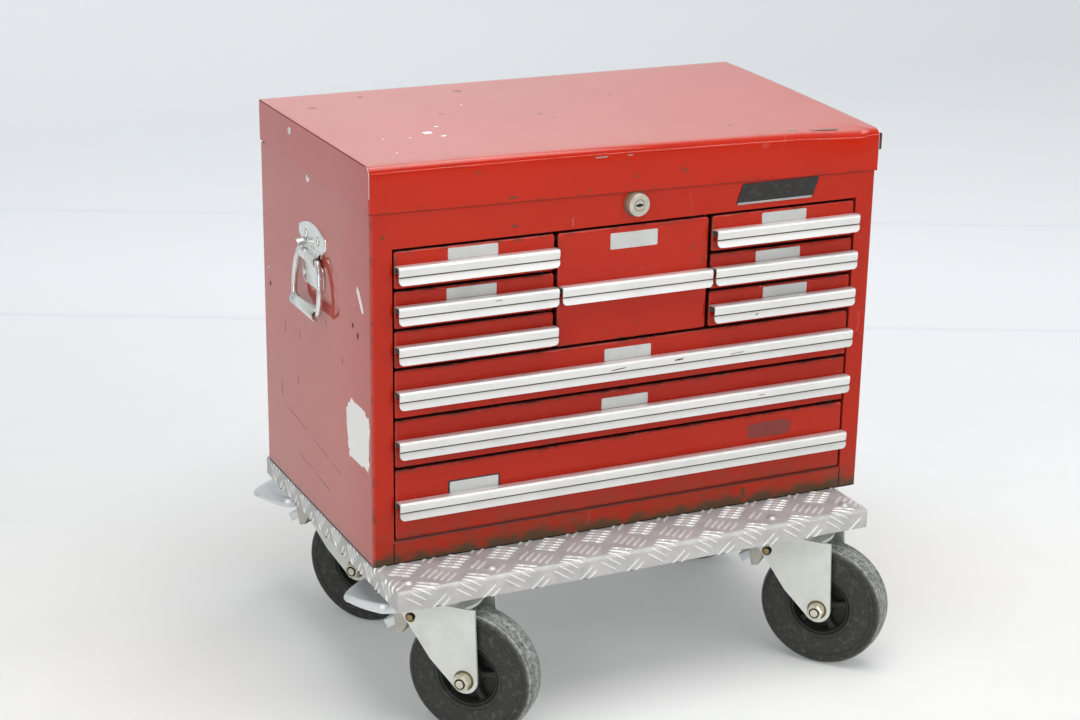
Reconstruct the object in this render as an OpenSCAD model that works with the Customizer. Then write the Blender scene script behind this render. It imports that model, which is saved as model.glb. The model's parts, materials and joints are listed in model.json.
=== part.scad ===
// Rolling tool cabinet: a ten-drawer lidded steel chest on a tread-plate dolly with four braked casters.
// Sizes in millimetres. X runs to the right, Y to the back and Z up from the floor.
// The origin is on the floor under the middle of the dolly deck.

/* [Chest] */
// Width of the chest across its side panels
chest_w = 660; // [640:1:690]
// Depth of the chest from the front face to the back face
chest_d = 378; // [364:1:392]
// Height of the opening that holds the drawers
opening_h = 355; // [345:1:385]
// Height of the rail under the drawers
bottom_rail_h = 27; // [24:0.5:34]
// Height of the lock panel that shows between the drawers and the lid
lock_panel_h = 46; // [42:0.5:56]
// Width of each front stile
stile_w = 25.5; // [22:0.5:32]
// Thickness of the sheet steel
sheet = 1.2; // [1:0.1:1.5]
// Height of the chest floor above the foot of the side panels
base_lift = 10; // [8:0.5:14]
// Depth of the folded returns on the rails
rail_return = 12; // [10:0.5:16]

/* [Lid] */
// Height of the lid skirt
lid_h = 50; // [44:0.5:60]
// Radius of the lid's front top edge
lid_edge_r = 9; // [6:0.5:12]
// Height of the body that the lid skirt covers
lid_overlap = 12; // [9:0.5:14]
// Space between the lid skirt and the body
lid_gap = 0.8; // [0.6:0.1:1.2]

/* [Drawers] */
// Height of the fronts in the three upper rows
small_h = 43.5; // [40:0.5:46]
// Height of the two shallow full-width fronts
wide_h = 57; // [52:0.5:60]
// Gap between the rows
row_gap = 3.5; // [3.2:0.1:4]
// Gap between the columns
column_gap = 4.5; // [4.2:0.1:6]
// Gap between a drawer front and a stile
stile_gap = 2.5; // [2:0.1:3.5]
// Length of a drawer tray from front to back
tray_l = 335; // [320:1:340]
// Space at each side of a tray for its channel
tray_side = 9; // [9:0.1:11]
// Depth of the folded edge of a drawer front
front_return = 8; // [6:0.5:9]
// Width of the runner lip on each tray side
runner_w = 8; // [7:0.1:8.5]

/* [Pulls] */
// Height of the pull face
pull_h = 22; // [20:0.5:24]
// Distance the pull stands out from the drawer front
pull_out = 16; // [14:0.5:19]
// Distance of the pull's middle below the middle of the drawer front
pull_drop = 3.5; // [2:0.5:5]

/* [Lock] */
// Radius of the lock face
lock_r = 13.5; // [12:0.5:15]
// Distance the lock stands out
lock_out = 10; // [8:0.5:12]
// Radius of the turning plug
plug_r = 6; // [5:0.1:7]

/* [Side handles] */
// Height of the handle pivot above the foot of the chest
handle_z = 327; // [310:1:335]
// Width of the bail over the widest place of its bowed arms
bail_w = 96; // [92:1:104]
// Drop of the bail from the pivot to the middle of the grip
bail_drop = 62; // [58:1:66]
// Angle at which the bail hangs off the panel
bail_tilt = 4; // [3:0.5:8]

/* [Dolly deck] */
// How much narrower the deck is than the chest
deck_short = 28; // [0:1:40]
// Depth of the deck behind the chest
deck_back = 14; // [10:1:30]
// Depth of the deck ledge in front of the chest
deck_ledge = 75; // [65:1:85]
// Height of the folded deck edge
deck_edge_h = 25; // [20:0.5:30]
// Thickness of the tread plate
deck_t = 4; // [3:0.5:5]

/* [Casters] */
// Wheel radius
wheel_r = 80; // [76:0.5:82]
// Tyre width
tyre_w = 42; // [38:1:44]
// Height of a caster from the floor to the deck
caster_h = 205; // [203:1:212]
// Distance of the axle behind the swivel axis
trail = 50; // [45:0.5:54]
// Distance of the swivel axes from the deck's left and right edges
inset_x = 74; // [73:0.5:84]
// Distance of the front swivel axes from the deck's front edge
inset_front = 62.5; // [60:0.5:70]
// Distance of the rear swivel axes from the deck's back edge
inset_back = 58; // [58:0.5:66]
// Swivel angle of the front left caster
swivel_front_left = -48.5; // [-180:0.5:180]
// Swivel angle of the front right caster
swivel_front_right = -49.5; // [-180:0.5:180]
// Swivel angle of the rear left caster
swivel_rear_left = -52.5; // [-180:0.5:180]
// Swivel angle of the rear right caster
swivel_rear_right = -46; // [-180:0.5:180]

/* [Hidden] */
$fn = 96;
eps = 0.01;
fit = 0.05;

// Heights in the chest
opening_z = bottom_rail_h;
opening_top = opening_z + opening_h;
seam_z = opening_top + lock_panel_h;
body_top = seam_z + lid_overlap;
lid_top = seam_z + lid_h;
hinge_z = seam_z - 2;
back_drop = 4;
back_top = seam_z - back_drop;
till_z = opening_top + sheet;
side_notch = 15;
deep_h = opening_h - 3 * small_h - 2 * wide_h - 7 * row_gap;

// Size of the deck and place of the chest on it
deck_w = chest_w - deck_short;
deck_d = chest_d + deck_ledge + deck_back;
deck_top = caster_h + deck_t;
chest_x = -deck_w / 2;
chest_y = -deck_d / 2 + deck_ledge;

// Drawer rows from the bottom: foot of each row
deep_z = opening_z + row_gap;
wide_low_z = deep_z + deep_h + row_gap;
wide_high_z = wide_low_z + wide_h + row_gap;
row_low_z = wide_high_z + wide_h + row_gap;
row_mid_z = row_low_z + small_h + row_gap;
row_high_z = row_mid_z + small_h + row_gap;
row_top_z = row_high_z + small_h;

// Drawer columns
open_x0 = stile_w;
open_x1 = chest_w - stile_w;
column_w = (open_x1 - open_x0 - 2 * stile_gap - 2 * column_gap) / 3;
left_x0 = open_x0 + stile_gap;
left_x1 = left_x0 + column_w;
mid_x0 = left_x1 + column_gap;
mid_x1 = mid_x0 + column_w;
right_x0 = mid_x1 + column_gap;
right_x1 = right_x0 + column_w;
wall_l = left_x1 + column_gap / 2 - sheet / 2;
wall_r = mid_x1 + column_gap / 2 - sheet / 2;
wall_front = rail_return + 1;
shelf_z = row_low_z - row_gap / 2 - sheet / 2;

// Each drawer: front left, front right, foot, head, left channel face, right channel face
d_left_top = [left_x0, left_x1, row_high_z, row_top_z, open_x0, wall_l];
d_left_mid = [left_x0, left_x1, row_mid_z, row_mid_z + small_h, open_x0, wall_l];
d_left_low = [left_x0, left_x1, row_low_z, row_low_z + small_h, open_x0, wall_l];
d_centre = [mid_x0, mid_x1, row_low_z, row_top_z, wall_l + sheet, wall_r];
d_right_top = [right_x0, right_x1, row_high_z, row_top_z, wall_r + sheet, open_x1];
d_right_mid = [right_x0, right_x1, row_mid_z, row_mid_z + small_h, wall_r + sheet, open_x1];
d_right_low = [right_x0, right_x1, row_low_z, row_low_z + small_h, wall_r + sheet, open_x1];
d_wide_top = [left_x0, right_x1, wide_high_z, wide_high_z + wide_h, open_x0, open_x1];
d_wide_mid = [left_x0, right_x1, wide_low_z, wide_low_z + wide_h, open_x0, open_x1];
d_wide_deep = [left_x0, right_x1, deep_z, deep_z + deep_h, open_x0, open_x1];
ALL_DRAWERS = [
    d_left_top, d_left_mid, d_left_low, d_centre, d_right_top,
    d_right_mid, d_right_low, d_wide_top, d_wide_mid, d_wide_deep
];

// Tray and channel details
tray_lift = 3;
lip_drop = 10;
lip_y = front_return + 2;
channel_w = 10;
channel_y = wall_front + 1;
channel_over = 20;
channel_end = tray_l + channel_over;
channel_clear = 0.3;

// Pull section
pull_t = 2;

// Lock
lock_x = chest_w / 2;
lock_z = opening_top + lock_panel_h / 2;
lock_shank_r = 9.5;
lock_depth = 12;
cam_l = 20;
cam_w = 10;
cam_t = 2;
catch_at = 26;
catch_w = 14;
catch_t = 2;
catch_lip = 8;
catch_drop = 10;

// Side handles
handle_y = chest_d / 2;
bar_r = 3.5;
bar_off = 6.5;
knuckle_r = 6;
knuckle_w = 56;
plate_t = 2;
plate_w = 94;
plate_h = 35;
ear_arc = 93;
foot_w = 72;
foot_h = 34;
rivet_r = 4.5;
rivet_h = 2.2;
plate_corner = 9;
plate_gap = 5;
rivet_upper = 20;
rivet_lower = 27;
rivet_body = 15;
rivet_drop = 4;
grip_r = 8;
grip_t = 2.4;
arm_w = 7;
arm_t = 6;
bow_r = 76;
bow_z = 0.62 * bail_drop;
bow_y = bail_w / 2 - arm_w / 2 - bow_r;
bail_top = bow_y + sqrt(bow_r * bow_r - bow_z * bow_z) + arm_w / 2;
grip_half = bow_y + sqrt(bow_r * bow_r - (bail_drop - bow_z) * (bail_drop - bow_z)) + arm_w / 2;
lug_y = 21;
lug_z = 9;
lug_w = 13;
lug_t = 2.5;
lug_out = 8;

// Hinge
hinge_pin_r = 1.6;
hinge_r = 3.2;
hinge_count = 7;
hinge_margin = 20;
hinge_leaf_w = 22;
hinge_len = chest_w - 2 * hinge_margin;
hinge_step = hinge_len / hinge_count;
hinge_axis_y = chest_d + hinge_r;

// Caster top plates
plate_l = 134;
plate_d = 105;
top_plate_t = 5;
bolt_dx = 105 / 2;
bolt_dy = 80 / 2;
bolt_r = 5;
bolt_head_r = 7.5;
bolt_head_h = 3.5;
back_foot = bolt_head_h + 2;
nut_r = 9;
nut_h = 8;
race_r = 36;
king_r = 8;
king_head_r = 13;
king_head_h = 4;

// Caster forks
axle_z = wheel_r;
axle_r = 6;
hub_l = 53;
leg_in = hub_l / 2 + 0.5;
leg_t = 3.5;
leg_out = leg_in + leg_t;
leg_foot_r = 17;
crown_t = 4;
crown_room = 7;
crown_under = 2 * wheel_r + crown_room;
crown_top = crown_under + crown_t;
crown_r = 56;
dish_r = 40;
dish_rim = 12;
plate_under = caster_h - top_plate_t;
race_h = 8;
race_under = plate_under - race_h;
dish_h = race_under - crown_top - 0.6;
leg_lead = 44;
leg_trail = 13;
leg_shoulder = 7;
leg_bend_u = 31;
leg_bend_drop = 17;
leg_belly_u = 6;
leg_belly_rise = 19;
axle_nut_t = 8;
axle_nut_r = 10;
washer_t = 2;
washer_r = 11;
axle_stub = 3;

// Brakes
pin_u = -20;
pin_rise = 67;
pin_z = axle_z + pin_rise;
pin_r = 4;
tube_r = 8;
lever_w = 44;
pedal_w = 66;
pedal_tip = 112;
pedal_root = 50;
pedal_t = 3;
pedal_mid = 88;
pedal_lap = 4;
pedal_end_r = 90;
pedal_tip_rise = 9;
pedal_root_rise = 11;
pedal_flange = 11;
tab_w = 34;
// Outlines of the brake jaw and the release tab from the pivot pin, in tube radii
JAW = [[-0.38, -0.63], [-0.63, 0.25], [-2.5, 0.25], [-3.13, -0.63], [-1.75, -3.5], [-0.88, -3.5]];
TAB = [[-2.29, -0.51], [-1.71, -1.49], [-4.46, -3.11], [-5.04, -2.14]];

// Wheels
rim_r = 38;
rim_t = 4;
tyre_bead = 3;
tyre_shoulder = 7;
rim_w = tyre_w - tyre_bead;
hub_r = 17;
web_t = 9;
ribs = 5;
rib_t = 7;
rib_w = 28;

CASTER_X = deck_w / 2 - inset_x;
CASTER_FRONT = -deck_d / 2 + inset_front;
CASTER_BACK = deck_d / 2 - inset_back;
CASTERS = [
    [-CASTER_X, CASTER_FRONT, swivel_front_left],
    [CASTER_X, CASTER_FRONT, swivel_front_right],
    [-CASTER_X, CASTER_BACK, swivel_rear_left],
    [CASTER_X, CASTER_BACK, swivel_rear_right]
];

RED = [0.72, 0.16, 0.12];
STEEL = [0.78, 0.79, 0.77];
ALU = [0.84, 0.85, 0.84];
BLACK = [0.1, 0.1, 0.1];

// Shared placements and profiles

module in_chest() {
    translate([chest_x, chest_y, deck_top]) children();
}

module at_caster(i) {
    translate([CASTERS[i][0], CASTERS[i][1], 0]) rotate([0, 0, CASTERS[i][2]]) children();
}

// A profile drawn in Y and Z, swept along X
module sweep_x(length) {
    rotate([90, 0, 90]) linear_extrude(length) children();
}

// A profile drawn in the caster's travel direction and Z, swept along the axle and centred on it
module sweep_axle(length) {
    translate([0, length / 2, 0]) rotate([90, 0, 0]) linear_extrude(length) children();
}

module axle_rod(r, length) {
    rotate([90, 0, 0]) cylinder(r = r, h = length, center = true);
}

module rounded_rect(w, h, r) {
    translate([-w / 2 + r, -h / 2]) square([w - 2 * r, h]);
    translate([-w / 2, -h / 2 + r]) square([w, h - 2 * r]);
    for (sx = [-1, 1])
        for (sy = [-1, 1])
            translate([sx * (w / 2 - r), sy * (h / 2 - r)]) circle(r);
}

module rod_y(r, length) {
    rotate([-90, 0, 0]) cylinder(r = r, h = length);
}

// Chest body

module side_panel() {
    cube([sheet, chest_d, back_top]);
    cube([sheet, chest_d - side_notch, body_top]);
    cube([stile_w, sheet, body_top]);
}

module side_panel_left() {
    color(RED) in_chest() side_panel();
}

module side_panel_right() {
    color(RED) in_chest() translate([chest_w, 0, 0]) mirror([1, 0, 0]) side_panel();
}

module back_panel() {
    color(RED) in_chest() translate([sheet, chest_d - sheet, back_foot])
        cube([chest_w - 2 * sheet, sheet, back_top - back_foot]);
}

module base_pan() {
    color(RED) in_chest() translate([sheet, sheet, base_lift]) {
        cube([chest_w - 2 * sheet, chest_d - 2 * sheet, sheet]);
    }
}

module bottom_rail() {
    color(RED) in_chest() translate([stile_w, 0, 0]) {
        cube([chest_w - 2 * stile_w, sheet, bottom_rail_h]);
        translate([0, 0, bottom_rail_h - sheet]) cube([chest_w - 2 * stile_w, rail_return, sheet]);
    }
}

module top_rail() {
    color(RED) in_chest() difference() {
        translate([stile_w, 0, opening_top]) {
            cube([chest_w - 2 * stile_w, sheet, body_top - opening_top]);
            cube([chest_w - 2 * stile_w, rail_return, sheet]);
        }
        translate([lock_x, -1, lock_z]) rod_y(lock_shank_r + fit, sheet + 2);
    }
}

module till_floor() {
    color(RED) in_chest() translate([sheet, sheet, till_z]) {
        cube([chest_w - 2 * sheet, chest_d - 2 * sheet, sheet]);
    }
}

// Two inner side walls behind the stiles, two walls between the columns and the shelf under them
module inner_walls() {
    liner_z = base_lift + sheet;
    color(RED) in_chest() {
        for (x = [open_x0 - sheet, open_x1])
            translate([x, sheet, liner_z]) cube([sheet, chest_d - 2 * sheet, till_z - liner_z]);
        for (x = [wall_l, wall_r])
            translate([x, wall_front, shelf_z + sheet])
                cube([sheet, chest_d - sheet - wall_front, till_z - shelf_z - sheet]);
        translate([open_x0, wall_front, shelf_z])
            cube([open_x1 - open_x0, chest_d - sheet - wall_front, sheet]);
    }
}

// One runner channel, open to the right, with the runner lip's foot at z
module channel(z) {
    length = channel_end - channel_y;
    low = z - channel_clear - sheet;
    high = z + sheet + channel_clear;
    translate([0, channel_y, low]) cube([sheet, length, high + sheet - low]);
    translate([0, channel_y, low]) cube([channel_w, length, sheet]);
    translate([0, channel_y, high]) cube([channel_w, length, sheet]);
}

module drawer_channels() {
    color(STEEL) in_chest() for (d = ALL_DRAWERS) {
        translate([d[4], 0, 0]) channel(d[3] - lip_drop);
        translate([d[5], 0, 0]) mirror([1, 0, 0]) channel(d[3] - lip_drop);
    }
}

// Lid and hinge

module lid_profile(inset) {
    y0 = -lid_gap - sheet + inset;
    y1 = chest_d - inset;
    z1 = lid_top - inset;
    r = lid_edge_r - inset;
    z0 = seam_z - (inset > 0 ? 1 : 0);
    translate([y0, z0]) square([y1 - y0, z1 - r - z0]);
    translate([y0 + r, z1 - r - eps]) square([y1 - y0 - r, r + eps]);
    translate([y0 + r, z1 - r]) circle(r);
}

// Hook inside the lid front that the lock cam turns over
module lid_catch() {
    x0 = lock_x - catch_at;
    hook_y = rail_return + catch_lip;
    hook_z = lock_z - catch_drop;
    arm_z = body_top + catch_lip;
    translate([x0, -lid_gap, arm_z]) cube([catch_w, hook_y + lid_gap, catch_t]);
    translate([x0, hook_y - catch_t, hook_z]) cube([catch_w, catch_t, arm_z - hook_z + catch_t]);
    translate([x0, hook_y - catch_lip, hook_z]) cube([catch_w, catch_lip, catch_t]);
}

module lid_shell() {
    overhang = lid_gap + sheet;
    span = chest_w + 2 * overhang;
    rivet_y = chest_d * 0.69;
    rivet_z = lid_top - side_notch;
    color(RED) in_chest() {
        difference() {
            translate([-overhang, 0, 0]) sweep_x(span) lid_profile(0);
            translate([-overhang + sheet, 0, 0]) sweep_x(span - 2 * sheet) lid_profile(sheet);
        }
        lid_catch();
        for (x = [-overhang - rivet_h, chest_w + overhang])
            translate([x, rivet_y, rivet_z]) rotate([0, 90, 0]) cylinder(r = rivet_r, h = rivet_h);
    }
}

// One leaf with every second knuckle from the given start; side is -1 below the axis and 1 above it
module hinge_leaf(start, side) {
    clear = hinge_r + 0.6;
    difference() {
        union() {
            translate([hinge_margin, chest_d, hinge_z + (side > 0 ? clear : -clear - hinge_leaf_w)])
                cube([hinge_len, sheet, hinge_leaf_w]);
            for (i = [start : 2 : hinge_count - 1]) {
                x = hinge_margin + i * hinge_step + 0.4;
                translate([x, hinge_axis_y, hinge_z]) rotate([0, 90, 0])
                    cylinder(r = hinge_r, h = hinge_step - 0.8);
                translate([x, chest_d, hinge_z + (side > 0 ? 0 : -clear - 1)])
                    cube([hinge_step - 0.8, sheet, clear + 1]);
            }
        }
        translate([hinge_margin - 1, hinge_axis_y, hinge_z]) rotate([0, 90, 0])
            cylinder(r = hinge_pin_r + fit, h = hinge_len + 2);
    }
}

module hinge_leaf_body() {
    color(STEEL) in_chest() {
        hinge_leaf(0, -1);
        translate([hinge_margin, hinge_axis_y, hinge_z]) rotate([0, 90, 0])
            cylinder(r = hinge_pin_r, h = hinge_len);
    }
}

module hinge_leaf_lid() {
    color(STEEL) in_chest() hinge_leaf(1, 1);
}

// Lock

module lock_barrel() {
    color(STEEL) in_chest() translate([lock_x, 0, lock_z]) difference() {
        union() {
            translate([0, -lock_out, 0]) rod_y(lock_r, lock_out);
            rod_y(lock_shank_r, lock_depth);
        }
        translate([0, -lock_out - 1, 0]) rod_y(plug_r + fit, lock_out + lock_depth + 2);
    }
}

module lock_plug() {
    key_w = 7;
    key_h = 1.4;
    key_d = 4;
    color(STEEL) in_chest() translate([lock_x, 0, lock_z]) difference() {
        union() {
            translate([0, -lock_out, 0]) rod_y(plug_r, lock_out + lock_depth + 0.5);
            translate([-cam_w / 2, lock_depth + 0.5, -cam_w / 2]) cube([cam_w, cam_t, cam_l + cam_w / 2]);
        }
        translate([-key_w / 2, -lock_out - 1, -key_h / 2]) cube([key_w, key_d + 1, key_h]);
    }
}

// Side handles

module rivet_x(y, z, x) {
    translate([x - rivet_h, y, z]) rotate([0, 90, 0]) cylinder(r = rivet_r, h = rivet_h);
}

// Upper plate of a handle: an arched top on two round shoulders, drawn in to the knuckle's width
module ear_shape() {
    top = plate_gap + plate_h;
    shoulder_y = plate_w / 2 - plate_corner;
    shoulder_z = top - ear_arc + sqrt(ear_arc * ear_arc - shoulder_y * shoulder_y) - plate_corner;
    intersection() {
        translate([0, top - ear_arc]) circle(ear_arc);
        translate([-shoulder_y, shoulder_z - plate_corner]) square([2 * shoulder_y, top]);
    }
    for (s = [-1, 1])
        translate([s * shoulder_y, shoulder_z]) circle(plate_corner);
    polygon([
        [-knuckle_w / 2, 0], [knuckle_w / 2, 0],
        [shoulder_y + plate_corner * 0.9, shoulder_z - plate_corner * 0.35],
        [-shoulder_y - plate_corner * 0.9, shoulder_z - plate_corner * 0.35]
    ]);
}

module handle_plate() {
    upper_z = handle_z + plate_gap + plate_h / 2;
    lower_z = handle_z - plate_gap - foot_h / 2;
    difference() {
        union() {
            translate([-plate_t, handle_y, 0]) sweep_x(plate_t) {
                translate([0, handle_z]) ear_shape();
                translate([0, lower_z]) rounded_rect(foot_w, foot_h, plate_corner);
                translate([-knuckle_w / 2, handle_z - 2 * plate_gap]) square([knuckle_w, 4 * plate_gap]);
            }
            translate([-bar_off, handle_y - knuckle_w / 2, handle_z]) rod_y(knuckle_r, knuckle_w);
            translate([-plate_t - lug_out, handle_y + lug_y, handle_z + lug_z])
                cube([plate_t + lug_out, lug_w, lug_t]);
        }
        translate([-bar_off, handle_y - knuckle_w / 2 - 1, handle_z]) rod_y(bar_r + fit, knuckle_w + 2);
    }
    for (s = [-1, 1]) {
        rivet_x(handle_y + s * rivet_upper, upper_z, -plate_t);
        rivet_x(handle_y + s * rivet_lower, lower_z - rivet_drop, -plate_t);
    }
    rivet_x(handle_y + rivet_body, seam_z - plate_corner, 0);
}

module handle_plates() {
    color(STEEL) in_chest() {
        handle_plate();
        translate([chest_w, 0, 0]) mirror([1, 0, 0]) handle_plate();
    }
}

// One bowed arm in the bail's plane, from the top bar down to the grip
module bail_arm() {
    intersection() {
        translate([bow_y, -bow_z]) difference() {
            circle(bow_r + arm_w / 2);
            circle(bow_r - arm_w / 2);
        }
        translate([0, -bail_drop]) square([bail_w, bail_drop]);
    }
}

module handle_bail() {
    translate([-bar_off, handle_y, handle_z]) rotate([0, bail_tilt, 0]) {
        translate([0, -bail_top, 0]) rod_y(bar_r, 2 * bail_top);
        for (s = [0, 1])
            mirror([0, s, 0]) translate([-arm_t / 2, 0, 0]) sweep_x(arm_t) bail_arm();
        difference() {
            translate([0, -grip_half, -bail_drop]) rod_y(grip_r, 2 * grip_half);
            translate([0, -grip_half - 1, -bail_drop]) rod_y(grip_r - grip_t, 2 * grip_half + 2);
            translate([0, -grip_half - 1, -bail_drop - grip_r - 1])
                cube([grip_r + 1, 2 * grip_half + 2, 2 * grip_r + 2]);
        }
        translate([-arm_t / 2, -grip_half, -bail_drop + grip_r - grip_t])
            cube([arm_t, 2 * grip_half, grip_t]);
    }
}

module handle_bail_left() {
    color(STEEL) in_chest() handle_bail();
}

module handle_bail_right() {
    color(STEEL) in_chest() translate([chest_w, 0, 0]) mirror([1, 0, 0]) handle_bail();
}

// Drawers

module tray(d) {
    w = d[1] - d[0];
    h = d[3] - d[2];
    box_w = w - 2 * tray_side;
    lip_z = d[3] - lip_drop;
    box_z = d[2] + tray_lift;
    box_h = lip_z + sheet - box_z;
    color(RED) in_chest() {
        difference() {
            translate([d[0], 0, d[2]]) cube([w, front_return, h]);
            translate([d[0] + sheet, sheet, d[2] + sheet])
                cube([w - 2 * sheet, front_return, h - 2 * sheet]);
        }
        difference() {
            translate([d[0] + tray_side, sheet, box_z]) cube([box_w, tray_l - sheet, box_h]);
            translate([d[0] + tray_side + sheet, 2 * sheet, box_z + sheet])
                cube([box_w - 2 * sheet, tray_l - 3 * sheet, box_h]);
        }
        for (x = [d[0] + tray_side - runner_w, d[1] - tray_side - eps])
            translate([x, lip_y, lip_z]) cube([runner_w + eps, tray_l - lip_y, sheet]);
    }
}

module pull_section() {
    o = pull_out;
    h = pull_h;
    t = pull_t;
    polygon([
        [0, t * 0.45], [-o * 0.72, t * 1.15], [-o * 0.88, t * 0.95], [-o * 0.955, t * 0.15],
        [-o * 0.95, -h * 0.13],
        [-o * 0.9, -h * 0.36], [-o * 0.895, -h * 0.42], [-o * 0.91, -h * 0.54], [-o * 0.96, -h * 0.72],
        [-o, -h * 0.87], [-o * 0.985, -h * 0.9], [-o * 0.92, -h * 0.895], [-o * 0.85, -h * 0.72],
        [-o * 0.79, -h * 0.54], [-o * 0.78, -h * 0.36], [-o * 0.82, -h * 0.13], [-o * 0.81, -t * 0.25],
        [-o * 0.75, t * 0.05], [-t, -t * 0.55], [-t, -t * 4], [0, -t * 4]
    ]);
}

module pull(d) {
    mid_z = (d[2] + d[3]) / 2;
    top_z = mid_z - pull_drop + pull_h * 0.4;
    color(ALU) in_chest() translate([d[0], 0, top_z]) sweep_x(d[1] - d[0]) pull_section();
}

module drawer_left_top() {
    tray(d_left_top);
}

module drawer_left_mid() {
    tray(d_left_mid);
}

module drawer_left_low() {
    tray(d_left_low);
}

module drawer_centre() {
    tray(d_centre);
}

module drawer_right_top() {
    tray(d_right_top);
}

module drawer_right_mid() {
    tray(d_right_mid);
}

module drawer_right_low() {
    tray(d_right_low);
}

module drawer_wide_top() {
    tray(d_wide_top);
}

module drawer_wide_mid() {
    tray(d_wide_mid);
}

module drawer_wide_deep() {
    tray(d_wide_deep);
}

module pull_left_top() {
    pull(d_left_top);
}

module pull_left_mid() {
    pull(d_left_mid);
}

module pull_left_low() {
    pull(d_left_low);
}

module pull_centre() {
    pull(d_centre);
}

module pull_right_top() {
    pull(d_right_top);
}

module pull_right_mid() {
    pull(d_right_mid);
}

module pull_right_low() {
    pull(d_right_low);
}

module pull_wide_top() {
    pull(d_wide_top);
}

module pull_wide_mid() {
    pull(d_wide_mid);
}

module pull_wide_deep() {
    pull(d_wide_deep);
}

// Dolly deck

module bolt_places() {
    for (c = CASTERS)
        for (sx = [-1, 1])
            for (sy = [-1, 1])
                translate([c[0] + sx * bolt_dx, c[1] + sy * bolt_dy, 0]) children();
}

module deck_plate() {
    color(ALU) difference() {
        translate([-deck_w / 2, -deck_d / 2, deck_top - deck_edge_h]) cube([deck_w, deck_d, deck_edge_h]);
        translate([-deck_w / 2 + deck_t, -deck_d / 2 + deck_t, deck_top - deck_edge_h - 1])
            cube([deck_w - 2 * deck_t, deck_d - 2 * deck_t, deck_edge_h - deck_t + 1]);
        bolt_places() translate([0, 0, caster_h - 1]) cylinder(r = bolt_r + 0.3, h = deck_t + 2);
    }
}

module caster_plates() {
    color(STEEL) difference() {
        for (c = CASTERS) translate([c[0], c[1], 0]) {
            translate([-plate_l / 2, -plate_d / 2, plate_under]) cube([plate_l, plate_d, top_plate_t]);
            translate([0, 0, race_under]) cylinder(r = race_r, h = race_h + eps);
            translate([0, 0, crown_under - 0.5])
                cylinder(r = king_r, h = race_under - crown_under + 0.5 + eps);
            translate([0, 0, crown_under - 0.5 - king_head_h]) cylinder(r = king_head_r, h = king_head_h);
        }
        bolt_places() translate([0, 0, plate_under - 1]) cylinder(r = bolt_r + 0.3, h = top_plate_t + 2);
    }
}

module caster_bolts() {
    dome_r = (bolt_head_r * bolt_head_r + bolt_head_h * bolt_head_h) / (2 * bolt_head_h);
    color(STEEL) bolt_places() {
        translate([0, 0, plate_under - nut_h - 3])
            cylinder(r = bolt_r, h = deck_top - plate_under + nut_h + 3 + eps);
        translate([0, 0, plate_under - nut_h]) cylinder(r = nut_r, h = nut_h, $fn = 6);
        intersection() {
            translate([0, 0, deck_top]) cylinder(r = bolt_head_r, h = bolt_head_h);
            translate([0, 0, deck_top + bolt_head_h - dome_r]) sphere(dome_r);
        }
    }
}

// Casters: in their own frame the wheel trails along +X and the axle runs along Y

module leg_shape() {
    polygon([
        [-leg_lead, crown_top], [-leg_lead, crown_under - leg_shoulder],
        [-leg_bend_u, crown_under - leg_bend_drop], [leg_belly_u, axle_z + leg_belly_rise],
        [trail - leg_foot_r * 0.78, axle_z - leg_foot_r * 0.62], [trail + leg_foot_r, axle_z],
        [trail + leg_trail, crown_top]
    ]);
    translate([trail, axle_z]) circle(leg_foot_r);
}

module fork(i) {
    color(STEEL) at_caster(i) difference() {
        union() {
            for (s = [-1, 1])
                translate([0, s * (leg_in + leg_t / 2), 0]) sweep_axle(leg_t) leg_shape();
            intersection() {
                translate([-leg_lead, -leg_out, crown_under])
                    cube([leg_lead + crown_r, 2 * leg_out, crown_t]);
                translate([0, 0, crown_under]) cylinder(r = crown_r, h = crown_t);
            }
            translate([0, 0, crown_top - eps]) cylinder(r = dish_r, h = dish_h + eps);
        }
        translate([0, 0, crown_under - 1]) cylinder(r = king_r + fit, h = crown_t + dish_h + 2);
        translate([0, 0, crown_top]) cylinder(r = dish_r - dish_rim, h = dish_h + 1);
        translate([trail, 0, axle_z]) axle_rod(axle_r + 0.2, 2 * leg_out + 2);
        translate([pin_u, 0, pin_z]) axle_rod(pin_r + 0.2, 2 * leg_out + 2);
    }
}

module axle(i) {
    color(STEEL) at_caster(i) {
        translate([trail, 0, axle_z]) {
            axle_rod(axle_r, 2 * (leg_out + washer_t + axle_nut_t + axle_stub));
            for (s = [-1, 1]) {
                translate([0, s * (leg_out + washer_t / 2), 0]) axle_rod(washer_r, washer_t);
                translate([0, s * (leg_out + washer_t + axle_nut_t / 2), 0]) rotate([90, 0, 0])
                    cylinder(r = axle_nut_r, h = axle_nut_t, center = true, $fn = 6);
            }
        }
        translate([pin_u, 0, pin_z]) axle_rod(pin_r, 2 * leg_out + axle_stub);
    }
}

// Pedal outline seen from above
module pedal_plan() {
    translate([-pedal_root, 0, 0]) intersection() {
        translate([-(pedal_tip - pedal_root), -pedal_w / 2, axle_z])
            cube([pedal_tip - pedal_root, pedal_w, axle_z * 2]);
        translate([pedal_end_r - pedal_tip + pedal_root, 0, axle_z])
            cylinder(r = pedal_end_r, h = axle_z * 2);
    }
}

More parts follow.
